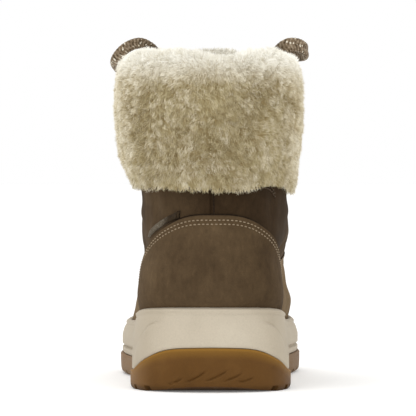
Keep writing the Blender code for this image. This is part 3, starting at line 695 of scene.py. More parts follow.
def nubuck_finish(name, dark, mid, light, deep, darker):
    """Brushed leather; behind the heel, painted shade multiplies the colour by deep, coming in between
    the two side positions given last.
    """
    finish = Finish(
        name, 0.9, Sheen_Weight=0.06, Sheen_Roughness=0.45, Specular_IOR_Level=0.08,
        Sheen_Tint=linear((170, 140, 105)),
    )
    cloud = finish.noise(26.0, 3.0, 0.5, distort=0.6)
    nap = finish.noise(2.6, 4.0, 0.65, stretch=(1.0, 1.0, 0.55))
    fleck = finish.noise(0.55, 2.0, 0.7)
    base = finish.ramp(cloud, [(0.30, dark), (0.52, mid), (0.74, light)])
    tone = finish.ramp(nap, [(0.30, 0.36), (0.5, 0.5), (0.72, 0.66)])
    fine = finish.ramp(fleck, [(0.28, 0.38), (0.5, 0.5), (0.74, 0.64)])
    vamp = finish.range(finish.attribute("vamp"), VAMP_REACH - 0.3, VAMP_REACH + 0.3)
    base = finish.mix(base, linear(VAMP_TINT), vamp)
    worn = finish.overlay(finish.overlay(base, tone, 0.55), fine, 0.5)
    # Painted shade: behind the heel one side goes dark, standing in for the light from the left and the
    # cuff's shadow.
    x, y, _ = finish.split(finish.place)
    behind = finish.range(y, 0.03, 0.07, 1.0, 0.0)
    painted_side_shade = finish.times(finish.range(x, *darker), behind)
    finish.colour(finish.mix(worn, linear(deep), painted_side_shade, "MULTIPLY"))
    finish.relief(finish.noise(7.0, 3.0, 0.6), 0.35, 0.6)
    finish.relief(nap, 0.14, 0.7)
    finish.relief(fleck, 0.05, 0.8)
    return finish.material


def foam_finish():
    finish = Finish("cream_foam_detail", 0.62, Specular_IOR_Level=0.2)
    cloud = finish.noise(34.0, 3.0, 0.5)
    speck = finish.noise(0.9, 3.0, 0.6)
    base = finish.ramp(cloud, [(0.25, (182, 171, 152)), (0.5, (191, 180, 161)), (0.78, (197, 187, 168))])
    # Painted shade: the foam dims a little everywhere forward of the heel's back, for its sides turning
    # away from the light.
    _, y, _ = finish.split(finish.place)
    side = finish.range(y, -0.039, -0.02)
    base = finish.mix(base, linear((238, 236, 233)), side, "MULTIPLY")
    dirt = finish.ramp(speck, [(0.30, 0.44), (0.5, 0.5), (0.72, 0.55)])
    finish.colour(finish.overlay(base, dirt, 0.5))
    finish.roughness(finish.range(speck, 0.3, 0.7, 0.54, 0.72))
    finish.relief(finish.cells(0.8), 0.03, 0.6)
    finish.relief(finish.noise(3.5, 2.0, 0.5), 0.06, 0.5)
    return finish.material


def gum_finish():
    finish = Finish("gum_rubber_detail", 0.5, Specular_IOR_Level=0.06)
    x, y, z = finish.split(finish.place)
    cloud = finish.noise(18.0, 3.0, 0.55)
    speck = finish.noise(0.7, 3.0, 0.6)
    base = finish.ramp(cloud, [(0.25, (88, 60, 28)), (0.5, (96, 66, 32)), (0.78, (104, 73, 37))])
    # Painted light: the gum's outer side is paler, for the light falling from that side.
    base = finish.mix(base, linear((128, 94, 54)), finish.range(x, -0.046, -0.032, 0.7, 0.0))
    # Painted highlight along the gum's top edge at the heel, from the rim mark that make_outsole gives.
    rim = finish.attribute("rim")
    bright = finish.mix(base, linear((138, 100, 42)), rim)
    # Painted shade: the gum goes dark towards the bottom, where it meets the floor.
    low = finish.range(z, 0.0005, 0.0045, 0.7, 0.0)
    dark = finish.mix(bright, linear((60, 40, 16)), low)
    # Paler towards the toe.
    paler_forward = finish.mix(dark, linear((128, 103, 75)), finish.range(y, 0.03, 0.10, 0.0, 0.68))
    fine = finish.ramp(speck, [(0.28, 0.43), (0.5, 0.5), (0.74, 0.57)])
    finish.colour(finish.overlay(paler_forward, fine, 0.5))
    finish.roughness(finish.range(speck, 0.3, 0.7, 0.42, 0.62))
    finish.relief(speck, 0.04, 0.6)
    finish.relief(finish.noise(5.0, 2.0, 0.5), 0.10, 0.5)
    return finish.material


WOOL_GLOW = 0.18  # painted glow, standing in for light scattered through the wool, as a share of its colour


def fleece_tones(finish, tone, top, light, ochre):
    """Wool that is nearly white at the cuff's rim as a painted highlight from above, paler at its sides
    as painted light, and ochre in soft patches below, partly its own colour and partly painted shade.
    """
    x, _, z = finish.split(finish.place)
    # Painted light: less ochre towards the left and right sides; painted shade: more ochre low on the
    # cuff.
    side = finish.range(finish.math("ABSOLUTE", x), 0.034, 0.054, 0.0, -0.2)
    rise = finish.plus(finish.range(z, 0.166, 0.182, 0.05, -0.04), side)
    wide = finish.times(finish.noise(12.0, 2.0, 0.5), 0.58)
    curls = finish.times(finish.noise(3.0, 2.0, 0.5, distort=0.8), 0.42)
    patch = finish.plus(finish.plus(wide, curls), rise)
    cloud = finish.range(patch, 0.34, 0.60)
    body = finish.mix(finish.ramp(tone, light), finish.ramp(tone, ochre), cloud)
    # Painted highlight: the near-white top ramp near the cuff's rim.
    rim = finish.range(z, 0.174, 0.193)
    return finish.mix(body, finish.ramp(tone, top), rim), rim


def fleece_finish():
    """Curly wool: tone runs from 0 at a strand's root to 1 at its tip."""
    finish = Finish(
        "fleece_strands", 0.9, Sheen_Weight=0.1, Sheen_Roughness=0.6, Specular_IOR_Level=0.1
    )
    tone = finish.attribute("tone")
    wool, rim = fleece_tones(
        finish,
        tone,
        [(0.0, (224, 219, 206)), (0.45, (235, 232, 223)), (1.0, (243, 241, 234))],
        [(0.0, (172, 160, 128)), (0.45, (202, 193, 168)), (1.0, (238, 233, 218))],
        [(0.0, (136, 119, 78)), (0.45, (154, 139, 98)), (1.0, (202, 190, 154))],
    )
    finish.colour(wool)
    # Painted glow: an emission that lifts the shade between the strands, warm ochre at the roots and
    # near white at the rim.
    deep = finish.ramp(tone, [(0.0, (222, 192, 132)), (0.5, (186, 172, 138)), (1.0, (178, 170, 150))])
    deep = finish.mix(deep, linear((226, 225, 218)), rim)
    finish.glow(deep, WOOL_GLOW)
    return finish.material


def fleece_base_finish():
    finish = Finish("fleece_base", 0.95)
    tuft = finish.noise(1.6, 4.0, 0.7)
    wool, _ = fleece_tones(
        finish,
        tuft,
        [(0.3, (208, 202, 186)), (0.55, (218, 213, 199)), (0.8, (226, 222, 210))],
        [(0.3, (176, 164, 131)), (0.55, (190, 179, 149)), (0.8, (202, 192, 166))],
        [(0.3, (142, 126, 88)), (0.55, (156, 141, 102)), (0.8, (170, 156, 118))],
    )
    finish.colour(wool)
    # Painted glow, as on the strands.
    finish.glow(wool, WOOL_GLOW)
    finish.relief(tuft, 1.2)
    return finish.material


def pile_finish():
    """The short pile of the lining, tongue and insole."""
    finish = Finish("lining_pile", 0.95, Sheen_Weight=0.3)
    curl = finish.noise(2.8, 5.0, 0.72, distort=1.2)
    cloud = finish.noise(20.0, 2.0, 0.5)
    base = finish.ramp(curl, [(0.28, (150, 134, 98)), (0.5, (196, 183, 150)), (0.75, (226, 217, 192))])
    shade = finish.ramp(cloud, [(0.3, 0.45), (0.7, 0.54)])
    finish.colour(finish.overlay(base, shade, 0.6))
    finish.relief(curl, 1.6)
    return finish.material


TAPE_PITCH = 0.9  # from one rib of the woven tape to the next


def webbing_finish():
    """Woven tape: u counts millimetres along it and v across it."""
    finish = Finish("dark_webbing_detail", 0.85, Specular_IOR_Level=0.1)
    u, _ = finish.uv()
    rib = finish.math("SINE", finish.times(u, 2 * math.pi / TAPE_PITCH))
    fray = finish.noise(0.7, 3.0, 0.6)
    base = finish.ramp(fray, [(0.3, (38, 29, 19)), (0.55, (58, 46, 32)), (0.8, (80, 66, 48))])
    pale = finish.ramp(fray, [(0.3, (70, 60, 48)), (0.5, (112, 102, 86)), (0.7, (160, 152, 136))])
    base = finish.mix(base, pale, finish.range(u, 7.0, 14.0, 0.0, 0.75))
    tone = finish.ramp(finish.range(rib, -1.0, 1.0), [(0.0, 0.36), (1.0, 0.6)])
    finish.colour(finish.overlay(base, tone, 0.7))
    finish.relief(rib, 0.15)
    finish.relief(fray, 0.1)
    return finish.material


def lace_finish():
    """Braided lace, taupe with cream flecks: u counts millimetres along it and v across."""
    finish = Finish("lace_weave", 0.85, Sheen_Weight=0.15, Specular_IOR_Level=0.2)
    u, v = finish.uv()
    beside = finish.math("ABSOLUTE", finish.math("SUBTRACT", v, LACE_HALF))
    line = finish.plus(u, finish.times(beside, BRAID_SLANT))
    turn = finish.times(line, 2 * math.pi / BRAID_PITCH)
    rib = finish.range(finish.math("SINE", turn), -1.0, 0.9)
    yarn = finish.range(finish.math("SINE", finish.times(turn, 3.0)), -1.0, 1.0)
    fray = finish.noise(0.55, 3.0, 0.65)
    mottle = finish.range(finish.noise(1.8, 2.0, 0.55), 0.3, 0.7)
    woven = finish.plus(finish.times(rib, 0.26), finish.times(fray, 0.24))
    shade = finish.plus(woven, finish.times(mottle, 0.5))
    base = finish.ramp(shade, [(0.15, (72, 57, 38)), (0.5, (124, 106, 84)), (0.85, (162, 146, 124))])
    # Painted shade: faces marked inner go dark olive and lose most of their flecks.
    inner = finish.times(finish.attribute("inner"), 0.75)
    base = finish.mix(base, linear((52, 42, 20)), inner)
    patch = finish.range(finish.noise(1.9, 1.0, 0.4), 0.60, 0.66)
    fleck = finish.times(patch, finish.range(rib, 0.25, 0.7))
    fleck = finish.times(fleck, finish.range(inner, 0.0, 0.6, 1.0, 0.2))
    spotted = finish.mix(base, linear((232, 224, 204)), fleck)
    tone = finish.ramp(fray, [(0.28, 0.36), (0.5, 0.5), (0.74, 0.64)])
    finish.colour(finish.overlay(spotted, tone, 0.45))
    finish.relief(yarn, 0.10)
    finish.relief(fray, 0.14)
    return finish.material


def plain_finish(name, roughness, grain, colours, depth, worn=None, **sockets):
    """One grain of noise gives the colour and the relief and, for some, the roughness."""
    finish = Finish(name, roughness, **sockets)
    grain = finish.noise(*grain)
    finish.colour(finish.ramp(grain, colours))
    if worn:
        finish.roughness(finish.range(grain, *worn))
    finish.relief(grain, depth)
    return finish.material


# The shaft's colours, also used on the tongue, are deeper than the counter's, partly as painted shade
# under the fleece cuff; each material's last two values give its painted side shade.
SHAFT_NUBUCK = nubuck_finish(
    "nubuck_shaft", (59, 46, 31), (70, 55, 38), (82, 66, 47), (196, 190, 184), (-0.020, 0.0)
)
COUNTER_NUBUCK = nubuck_finish(
    "nubuck_counter", (71, 56, 39), (81, 65, 46), (92, 75, 54), (232, 230, 226), (0.0, 0.034)
)
FOAM = foam_finish()
GUM = gum_finish()
FLEECE = fleece_finish()
FLEECE_BASE = fleece_base_finish()
PILE = pile_finish()
WEBBING = webbing_finish()
LACE = lace_finish()
THREAD, DARK_THREAD = (
    plain_finish(name, 0.7, (0.35, 2.0, 0.5), list(zip((0.3, 0.6, 0.85), colours)), 0.05)
    for name, *colours in (
        ("stitch_thread", (122, 104, 80), (154, 136, 110), (178, 162, 136)),
        ("dark_stitch_thread", (66, 52, 36), (84, 68, 48), (98, 82, 60)),
    )
)
# The cut edges and seam grooves of the leather; along the counter's top the dark edge is also a painted
# shadow line.
EDGE = plain_finish(
    "leather_edge", 0.9, (0.8, 3.0, 0.6), [(0.3, (30, 22, 15)), (0.7, (48, 37, 27))], 0.08,
    Specular_IOR_Level=0.06,
)
METAL = plain_finish(
    "eyelet_metal_detail", 0.38, (1.4, 4.0, 0.7, (1.0, 1.0, 3.0)),
    [(0.3, (78, 62, 46)), (0.6, (112, 92, 70)), (0.85, (140, 120, 96))], 0.03,
    (0.3, 0.8, 0.3, 0.5), Metallic=1.0,
)
AGLET = plain_finish(
    "aglet_plastic", 0.3, (2.5, 2.0, 0.5), [(0.3, (60, 47, 34)), (0.7, (78, 62, 46))], 0.03,
    (0.3, 0.7, 0.25, 0.4),
)


# --- seams and stitches -----------------------------------------------------------------------
STITCH_PITCH = 2.5
STITCH_LONG = 1.75
STITCH_RADIUS = 0.36
STITCH_DIP = 2.2  # how far a stitch's ends go down, in its radius
# The stitch's radius along it, as shares of its length and of its full radius.
STITCH_PROFILE = (
    (-0.5, 0.30), (-0.40, 0.85), (-0.15, 1.0), (0.15, 1.0), (0.40, 0.85), (0.5, 0.30),
)
STITCH_SIDES = 6
STRIP_SIDES = 8


def stitch_row(line, normals):
    """The middle of each stitch of a row, its direction and the way it looks."""
    far = walk(line)
    at = np.arange(STITCH_PITCH / 2, far[-1], STITCH_PITCH)
    along = unit(stops_at(line, far, at + 0.3) - stops_at(line, far, at - 0.3))
    places = stops_at(line, far, at)
    nearest = np.argmin(np.linalg.norm(places[:, None, :] - line[None, :, :], axis=2), axis=1)
    across = unit(np.cross(normals[nearest], along))
    return zip(places, along, across, unit(np.cross(along, across)))


def make_stitches(name, rows, finish=THREAD):
    """Rows of stitches: each row is its line of points and their outward directions."""
    points, faces = [], []
    for row in rows:
        for place, along, across, out in stitch_row(*row):
            faces += tube_faces(len(STITCH_PROFILE), STITCH_SIDES, len(points))
            for share, wide in STITCH_PROFILE:
                dip = STITCH_RADIUS * STITCH_DIP * abs(share * 2) ** 3
                middle = place + along * share * STITCH_LONG - out * dip
                for turn in turns(STITCH_SIDES):
                    way = across * math.cos(turn) + out * math.sin(turn)
                    points.append(middle + way * STITCH_RADIUS * wide)
    make_mesh(name, points, faces, finish)


def make_strip(name, line, normals, wide, high):
    """A low rounded strip along a line on the leather: a cut edge or a seam."""
    across = unit(np.cross(normals, unit(np.gradient(line, axis=0))))
    points = [
        line + across * (wide / 2 * math.cos(turn)) + normals * (high * math.sin(turn))
        for turn in turns(STRIP_SIDES)
    ]
    faces = tube_faces(len(line), STRIP_SIDES)
    make_mesh(name, np.stack(points, axis=1), faces, EDGE)


# --- sole -------------------------------------------------------------------------------------
def side_inset(sides, share, y):
    heel = height_at(table(Height, *((row.share, row.heel) for row in sides)), share)
    fore = height_at(table(Height, *((row.share, row.fore) for row in sides)), share)
    return blend(heel, fore, foreness(y))


# Short slanting grooves low on the gum behind the heel, from one end to the other.
Slash = namedtuple("Slash", "x0 z0 x1 z1")
SLASHES = table(
    Slash,
    (-26.5, 4.8, -15.5, 8.8),
    (-16.0, 5.6, -1.0, 13.6),
    (-5.0, 6.4, 11.0, 13.6),
    (5.5, 6.4, 19.6, 12.2),
    (14.5, 6.4, 25.5, 9.0),
)
SLASH_DEPTH = 0.95
RIB_PITCH = 8.0  # of the upright ribs on the gum's side


def slash_relief(points):
    x, y, z = np.moveaxis(points, -1, 0)
    relief = 0.0 * x
    for row in SLASHES:
        s = (x - row.x0) / (row.x1 - row.x0)
        line = blend(row.z0, row.z1, s) - 1.1 * np.clip(4 * s * (1 - s), 0, 1)
        window = ease(s, -0.05, 0.3) * (1 - ease(s, 0.72, 1.04)) * (y < -18)
        relief -= window * SLASH_DEPTH * bell(z - line, 0.62)
        relief += window * 0.5 * bell(z - line + 1.5, 1.0)
    return relief


def make_outsole():
    k = around(0.045, 0.3, 2.7)
    y = outline(k)[:, 1]
    low, high = height_at(UNDERSIDE, y), height_at(GUM_TOP, y)
    rib = np.abs((y / RIB_PITCH) % 1.0 - 0.5) * RIB_PITCH
    rows, rim = [], []
    spans = ((0, 0.12, 5), (0.16, 0.94, 34), (0.96, 1, 3))
    for share in np.concatenate([np.linspace(*span) for span in spans]):
        z = blend(low, high, share)
        edge = (1 - share) * (high - low)
        inset = side_inset(GUM_SIDE, share, y) + 0.5 * bell(edge, 0.5) - 0.25 * bell(edge - 1.0, 0.6)
        inset = inset + 0.45 * bell(rib, 0.6) * ease(y, 45, 70) * (1 - ease(share, 0.7, 0.9))
        rows.append(side_ring(k, inset - slash_relief(side_ring(k, 0.0, z)), z))
        # The rim mark is a painted highlight along the gum's top edge, fading out towards the forefoot.
        glow = 0.45 * bell(edge - 0.5, 1.0) + 0.5 * (1 - ease(edge, 1.0, 7.0))
        rim.append(glow * (1 - foreness(y)))
    lining = side_inset(GUM_SIDE, 1.0, y) + GUM_WALL
    rows += [side_ring(k, lining, z) for z in (high, low + GUM_FLOOR)]
    sole = make_tray("gum_outsole", rows, GUM, "outsole", sharp=40)
    mark_points(sole.data, "rim", rim + [0.0 * y, 0.0 * y])
    cut_with(sole, *tread_grooves())


def tread_grooves():
    """Points and faces of the bent bars that the treads' grooves are cut with."""
    points, faces = [], []
    for row in GROOVES:
        for n in range(row.count):
            first, bends = len(points), np.linspace(-GROOVE_REACH, GROOVE_REACH, 5)
            for x in bends:
                y = row.first_y + row.step * n - row.sweep * abs(x) / GROOVE_REACH
                roof = float(height_at(UNDERSIDE, np.array([y]))[0]) + LUG_DEPTH
                for across, z in ((-1, -6.0), (-1, roof), (1, roof), (1, -6.0)):
                    points.append((x, y + across * row.wide / 2, z))
            faces += tube_faces(len(bends), 4, first)
    return points, faces


# The moulded edge on each side of the foam's heel, by the distance round it from the back.
MOULD_LINE = table(
    Height, (29.0, 40.0), (36.0, 39.4), (43.8, 37.4), (50.0, 33.5), (56.0, 28.5), (64.0, 20.0),
    (71.0, 12.0),
)


def make_midsole():
    k = around(0.10, 0.25, 6.0)
    place = outline(k)
    y = place[:, 1]
    reach = walk(place[: len(k) // 2 + 1])
    reach = np.concatenate([reach, reach[-2:0:-1]])
    floor = height_at(UNDERSIDE, y) + GUM_FLOOR + GAP
    seam = height_at(GUM_TOP, y) + GAP
    rim = height_at(RIM, y)
    tucked = side_inset(GUM_SIDE, 1.0, y) + GUM_WALL + GAP
    rows = [side_ring(k, tucked, floor), side_ring(k, tucked, seam)]
    line = height_at(MOULD_LINE, reach)
    slope = height_at(MOULD_LINE, reach + 0.5) - height_at(MOULD_LINE, reach - 0.5)
    fade = ease(reach, 29, 40) * (1 - ease(reach, 69, 74))
    for share in np.linspace(0, 1, 56):
        z = blend(seam, rim, share)
        edge = rim - z
        inset = side_inset(FOAM_SIDE, share, y) - 0.55 * bell(edge - 1.3, 0.9)
        inset = inset + 0.4 * bell(edge - 3.3, 0.8) + 0.35 * bell(z - seam, 0.6)
        away = (z - line) / np.sqrt(1 + slope**2)
        step = 1.0 * ease(away, -0.6, 0.6) * bell(away, 9.0) + 0.7 * bell(away, 0.6)
        rows.append(side_ring(k, inset + fade * step, z))
    for inset, z in ((-1.2, rim + 0.1), (0.0, rim - 0.5), (0.6, height_at(BED, y))):
        rows.append(side_ring(k, recess(y) + inset, z))
    make_tray("foam_midsole", rows, FOAM, "midsole", sharp=60)


# --- upper ------------------------------------------------------------------------------------
# Soft creases and dents of the leather: middle, direction, and how long, wide and deep.
Crease = namedtuple("Crease", "x y z dx dy dz long wide deep")
CREASES = table(
    Crease,
    (-20, 158, 76, 1.0, 0.25, 0.0, 20, 3.0, 1.1),
    (16, 166, 74, 1.0, -0.2, 0.0, 20, 3.2, 1.1),
    (-4, 178, 72, 1.0, 0.1, 0.0, 24, 3.4, 1.2),
    (-42, 148, 55, 0.2, 0.3, 1.0, 12, 3.4, 0.9),
    (44, 152, 54, -0.2, 0.3, 1.0, 12, 3.4, 0.9),
    (-40, 40, 96, 0.0, 1.0, 0.25, 20, 4.0, 0.9),
    (-41, 34, 108, 0.0, 1.0, -0.1, 18, 3.6, 0.6),
    (42, 42, 98, 0.0, 1.0, 0.2, 20, 4.0, 0.9),
    (42, 36, 110, 0.0, 1.0, -0.15, 18, 3.6, 0.6),
    (-34, 76, 84, 0.3, 1.0, 0.4, 22, 4.4, 1.4),
    (38, 78, 84, -0.3, 1.0, 0.4, 22, 4.4, 1.4),
    (-22, 118, 92, 0.6, 0.8, 0.5, 16, 3.6, 1.0),
    (26, 120, 90, -0.6, 0.8, 0.5, 16, 3.6, 1.0),
    (8, -36, 66, 1.0, 0.0, 0.12, 17, 5.0, 0.7),
    (-14, -34, 80, 1.0, 0.0, -0.3, 12, 6.0, 0.5),
    (24, -24, 80, 0.4, 0.2, 1.0, 14, 5.0, 0.6),
    (34, -10, 106, 0.1, 0.2, 1.0, 14, 4.0, 0.7),
    (-32, -12, 104, 0.0, 0.2, 1.0, 12, 4.0, 0.6),
)


def crease_relief(points):
    relief = 0.0 * points[..., 0]
    for row in CREASES:
        direction = unit(np.array([row.dx, row.dy, row.dz]))
        away = points - np.array([row.x, row.y, row.z])
        along = away @ direction
        beside = np.linalg.norm(away - along[..., None] * direction, axis=-1)
        length = bell(along, row.long)
        relief -= row.deep * length * bell(beside, row.wide)
        relief += 0.35 * row.deep * length * bell(beside - 2.1 * row.wide, row.wide)
    return relief


def leather_relief(points):
    return crease_relief(points) + 0.22 * noise(points, 9.0) + 0.08 * noise(points, 3.5, 2.0)


def back_seam(points):
    """The seam down the back of the shaft, a groove between two low ridges."""
    x, y, z = np.moveaxis(points, -1, 0)
    there = (y < 0) * ease(z, 97, 100)
    return there * (0.35 * bell(np.abs(x) - 1.6, 0.8) - 0.75 * bell(x, 0.55))


VAMP_SEAM = [(84, 38), (90, 48), (102, 60), (120, 71), (140, 78), (154, 80)]
VAMP_TOP_Z = float(VAMP_SEAM[-1][1])
VAMP_TOP_HALF = 6.4  # where the vamp's top edge meets the throat
THROAT_CUT_Y = (60.0, 195.0)
# How far from each panel's edge its rows of stitches run.
VAMP_ROWS = (1.8, 4.0)
THROAT_ROWS = (2.2, 13.0)
ARCH_ROWS = (0.0, 2.2)
STITCH_LIFT = 0.3


def make_upper():
    """The leather wall, marked where it is the vamp's, with the throat cut out."""
    k = around(0.035, 0.24, 0.45)
    y = outline(k)[:, 1]
    count = len(k)
    foot = recess(y) + UPPER_FOOT_INSET
    rows = [side_ring(k, inset, bed_top(y)) for inset in (foot + LASTING_MARGIN, foot)]
    for v in np.linspace(2.0, LEVELS, 92):
        level = np.full(count, v)
        place = upper_place(k, level)
        relief = leather_relief(place) + back_seam(place)
        relief = relief * ease(place[:, 2] - height_at(RIM, y), 1.0, 8.0)
        rows.append(upper_at(k, level, relief)[0])
    points = np.array(rows).reshape(-1, 3)
    mesh = outward_mesh("nubuck_upper", points, grid_faces(len(rows), count, closed=True))
    if min(mesh.polygons, key=lambda face: face.center.y).normal.y > 0.0:
        mesh.flip_normals()
    mesh.materials.append(SHAFT_NUBUCK)
    seam_y, seam_z = np.array(VAMP_SEAM, float).T
    ahead = points[:, 1] - np.interp(points[:, 2], seam_z, seam_y)
    inside = np.minimum(ahead, VAMP_TOP_Z - points[:, 2])
    mark_points(mesh, "vamp", np.clip(inside + VAMP_REACH, 0, 2 * VAMP_REACH))
    upper = link("nubuck_upper", mesh)
    wall = upper.modifiers.new("wall", "SOLIDIFY")
    wall.thickness = UPPER_WALL * MM
    wall.offset = -1.0
    apply_modifiers(upper)
    line = throat_line(1) + throat_line(-1)[::-1][:-1]
    cut_with(upper, [(x, y, z) for y in THROAT_CUT_Y for x, z in line], tube_faces(2, len(line)))
    upper.data.shade_smooth()
    upper.data.set_sharp_from_angle(angle=math.radians(50))
    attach(upper, "root")
    declare(upper, "upper")


def throat_line(side, beside=0.0):
    """Points (x, z) of the throat's edge seen from the front, from its bottom up one side."""
    bend = np.radians(np.linspace(270, 360 if side > 0 else 180, 14))
    radius = THROAT_LOW_HALF + beside
    centre = THROAT_LOW_Z + THROAT_LOW_HALF
    low = [(radius * math.cos(a), centre + radius * math.sin(a)) for a in bend]
    heights = np.linspace(centre + 4, COLLAR_Z + 10, 30)
    return low + [(side * (float(throat_half(z)) + beside), z) for z in heights]


def on_front(line, lift):
    """Points on the upper's front for (x, z) places, and their outward directions."""
    x, z = np.array(line, float).T
    k = front_column(x, np.full(len(x), 9.0))
    for _ in range(3):
        v = level_of(k, z)
        k = front_column(x, v)
    return upper_at(k, v, lift)


def on_side(side, places, lift):
    """Points on the upper's outer (-1) or inner (+1) side for (y, z) places."""
    y, z = np.array(places, float).T

    def at(k):
        return k if side < 0 else ROUND - k

    def is_below(k):
        return upper_place(at(k), level_of(at(k), z))[:, 1] < y

    k = at(halve(np.full(len(y), 0.5), np.full(len(y), 23.0), is_below))
    return upper_at(k, level_of(k, z), lift)


def counter_levels(k):
    """The counter's foot and top heights at places round the heel."""
    foot = height_at(RIM, outline(k)[:, 1]) + 0.5
    top = 0.0 * k
    for beside in (-1.1, -0.5, 0.0, 0.5, 1.1):
        near = k + beside
        probe = upper_place(near, level_of(near, 0.0 * k + 70.0))[:, 1]
        top = top + 0.2 * height_at(COUNTER_EDGE, probe)
    return foot, np.maximum(top, foot + 1.5)


def counter_line(below, lift, reach):
    """A line that runs a distance under the counter's edge, and its outward directions."""
    k = np.linspace(-reach, reach, 240)
    _, top = counter_levels(k)
    edge = upper_place(k, level_of(k, top))
    rise = np.gradient(edge[:, 2])
    run = np.linalg.norm(np.gradient(edge[:, :2], axis=0), axis=1)
    v = level_of(k, top - below * np.sqrt(1 + (rise / run) ** 2))
    return upper_at(k, v, lift + leather_relief(upper_place(k, v)))


COUNTER_LIFT = 2.0  # the counter's outside above the upper's
COUNTER_REACH = 7.8  # how far round the heel it goes on each side
COUNTER_ROWS = (3.0, 5.4)  # how far under its edge its two rows of stitches run
# The curved seam low on the inner side of the shaft's back, as (x, z).
SHAFT_ARCH = (
    (20.5, 113.2), (24.0, 115.6), (28.5, 117.0), (33.0, 116.4), (36.0, 114.2), (37.5, 111.0),
)


def make_counter():
    k = np.linspace(-COUNTER_REACH, COUNTER_REACH, 150)
    foot, top = counter_levels(k)
    shares = 0.5 - 0.5 * np.cos(np.linspace(0, math.pi, 46))
    sides = [[], []]
    for share in shares:
        v = level_of(k, blend(foot, top, share))
        place, out = upper_place(k, v), upper_out(k, v)
        edge = np.minimum((1 - share) * (top - foot), 40.0)
        ends = (COUNTER_REACH - np.abs(k)) * 11.0
        near = np.minimum(np.minimum(edge, ends), share * (top - foot) + 0.6)
        rounded = np.sqrt(1 - (1 - np.clip(near / 1.3, 0, 1)) ** 2)
        dent = 0.28 * sum(bell(edge - row, 0.7) for row in COUNTER_ROWS)
        relief = leather_relief(place)
        outside = relief + 0.5 + (COUNTER_LIFT - 0.5) * rounded - dent
        for side, lift in zip(sides, (relief - 0.3, outside)):
            side.append(place + out * lift[:, None])
    faces = sheet_faces(len(shares), len(k))
    make_mesh(
        "nubuck_counter", sides[0] + sides[1], faces, COUNTER_NUBUCK, "heel_counter"
    )
    # A dark strip along the counter's top: its cut edge, and also a painted shadow line along that edge.
    make_strip("counter_edge", *counter_line(-0.35, 0.35, COUNTER_REACH - 0.1), 0.9, 0.45)
    lift, reach = COUNTER_LIFT + 0.05, COUNTER_REACH - 0.4
    make_stitches("counter_stitches", [counter_line(row, lift, reach) for row in COUNTER_ROWS])


def make_panel_seams():
    """Stitched seams where the vamp meets the sides, down the back and round the throat."""
    z = np.linspace(100.5, 150.0, 60)
    k = 0.0 * z
    v = level_of(k, z)
    place = upper_place(k, v)
    lift = leather_relief(place) + back_seam(place) + 0.05
    make_strip("back_seam", *upper_at(k, v, lift), 1.0, 0.3)
    vamp, throat = [], []
    for side, label in ((-1, "outer"), (1, "inner")):
        curve = through(VAMP_SEAM, np.linspace(0, 5, 60))
        line, normals = on_side(side, curve, 0.25)
        across = np.linspace(line[-1, 0], side * VAMP_TOP_HALF, 30)[1:]
        top_line, top_normals = on_front([(x, VAMP_TOP_Z) for x in across], 0.25)
        whole = np.concatenate([line, top_line]), np.concatenate([normals, top_normals])
        make_strip(f"vamp_seam_{label}", *whole, 1.0, 0.35)
        for lower in VAMP_ROWS:
            vamp.append(on_side(side, curve + lower * np.array([0.75, -0.75]), STITCH_LIFT))
        for beside in THROAT_ROWS:
            edge = [place for place in throat_line(side, beside) if place[1] < COLLAR_Z - 4]
            throat.append(on_front(edge, STITCH_LIFT))
    make_stitches("vamp_stitches", vamp)
    make_stitches("throat_stitches", throat)
    x, z = np.array(SHAFT_ARCH).T
    k = column_of(x, np.full(len(x), 10.6), 47.9, 38.0)
    k, z = through(np.column_stack([k, z]), np.linspace(0, len(x) - 1, 50)).T
    rows = [upper_at(k, level_of(k, z + above), 0.35) for above in ARCH_ROWS]
    make_stitches("shaft_stitches", rows, DARK_THREAD)


LINING_REACH = 21.4  # how far round the shaft the lining goes on each side


def make_lining():
    """Short pile inside the shaft and the foot, thin against the leather."""
    k = np.linspace(-LINING_REACH, LINING_REACH, 140)
    levels = np.linspace(3.0, LEVELS - 0.3, 44)
    v, at = ravelled(levels, k)
    place, out = upper_place(at, v), upper_out(at, v)
    pile = 0.25 * noise(place, 1.6) + 0.2 * noise(place, 0.8, 1.0)
    side = np.abs(place[:, 0] - 1.5)
    keep = np.where(place[:, 1] > 60, ease(side, 15, 22), 1.0)
    depth = UPPER_WALL + 0.25 + 0.45 * keep + 0.4 * keep * (1 + pile)
    points = np.concatenate([place - out * (UPPER_WALL + 0.1), place - out * depth[:, None]])
    make_mesh("shaft_lining", points, sheet_faces(len(levels), len(k)), PILE)


def make_insole():
    k = around(0.3, 0.3, 3.0)
    y = outline(k)[:, 1]
    inset = recess(y) + UPPER_FOOT_INSET + UPPER_WALL + INSOLE_INSET
    base = bed_top(y) + UPPER_WALL + INSOLE_LIFT
    top = INSOLE_THICK
    profile = ((0.0, 0.0), (3.3, 0.0), (4.2, 0.8), (top, 2.4), (top, 8.0), (top, 14.0))
    rows = [side_ring(k, inset + pull, base + lift) for lift, pull in profile]
    make_tray("insole_pad", rows, PILE, "insole")


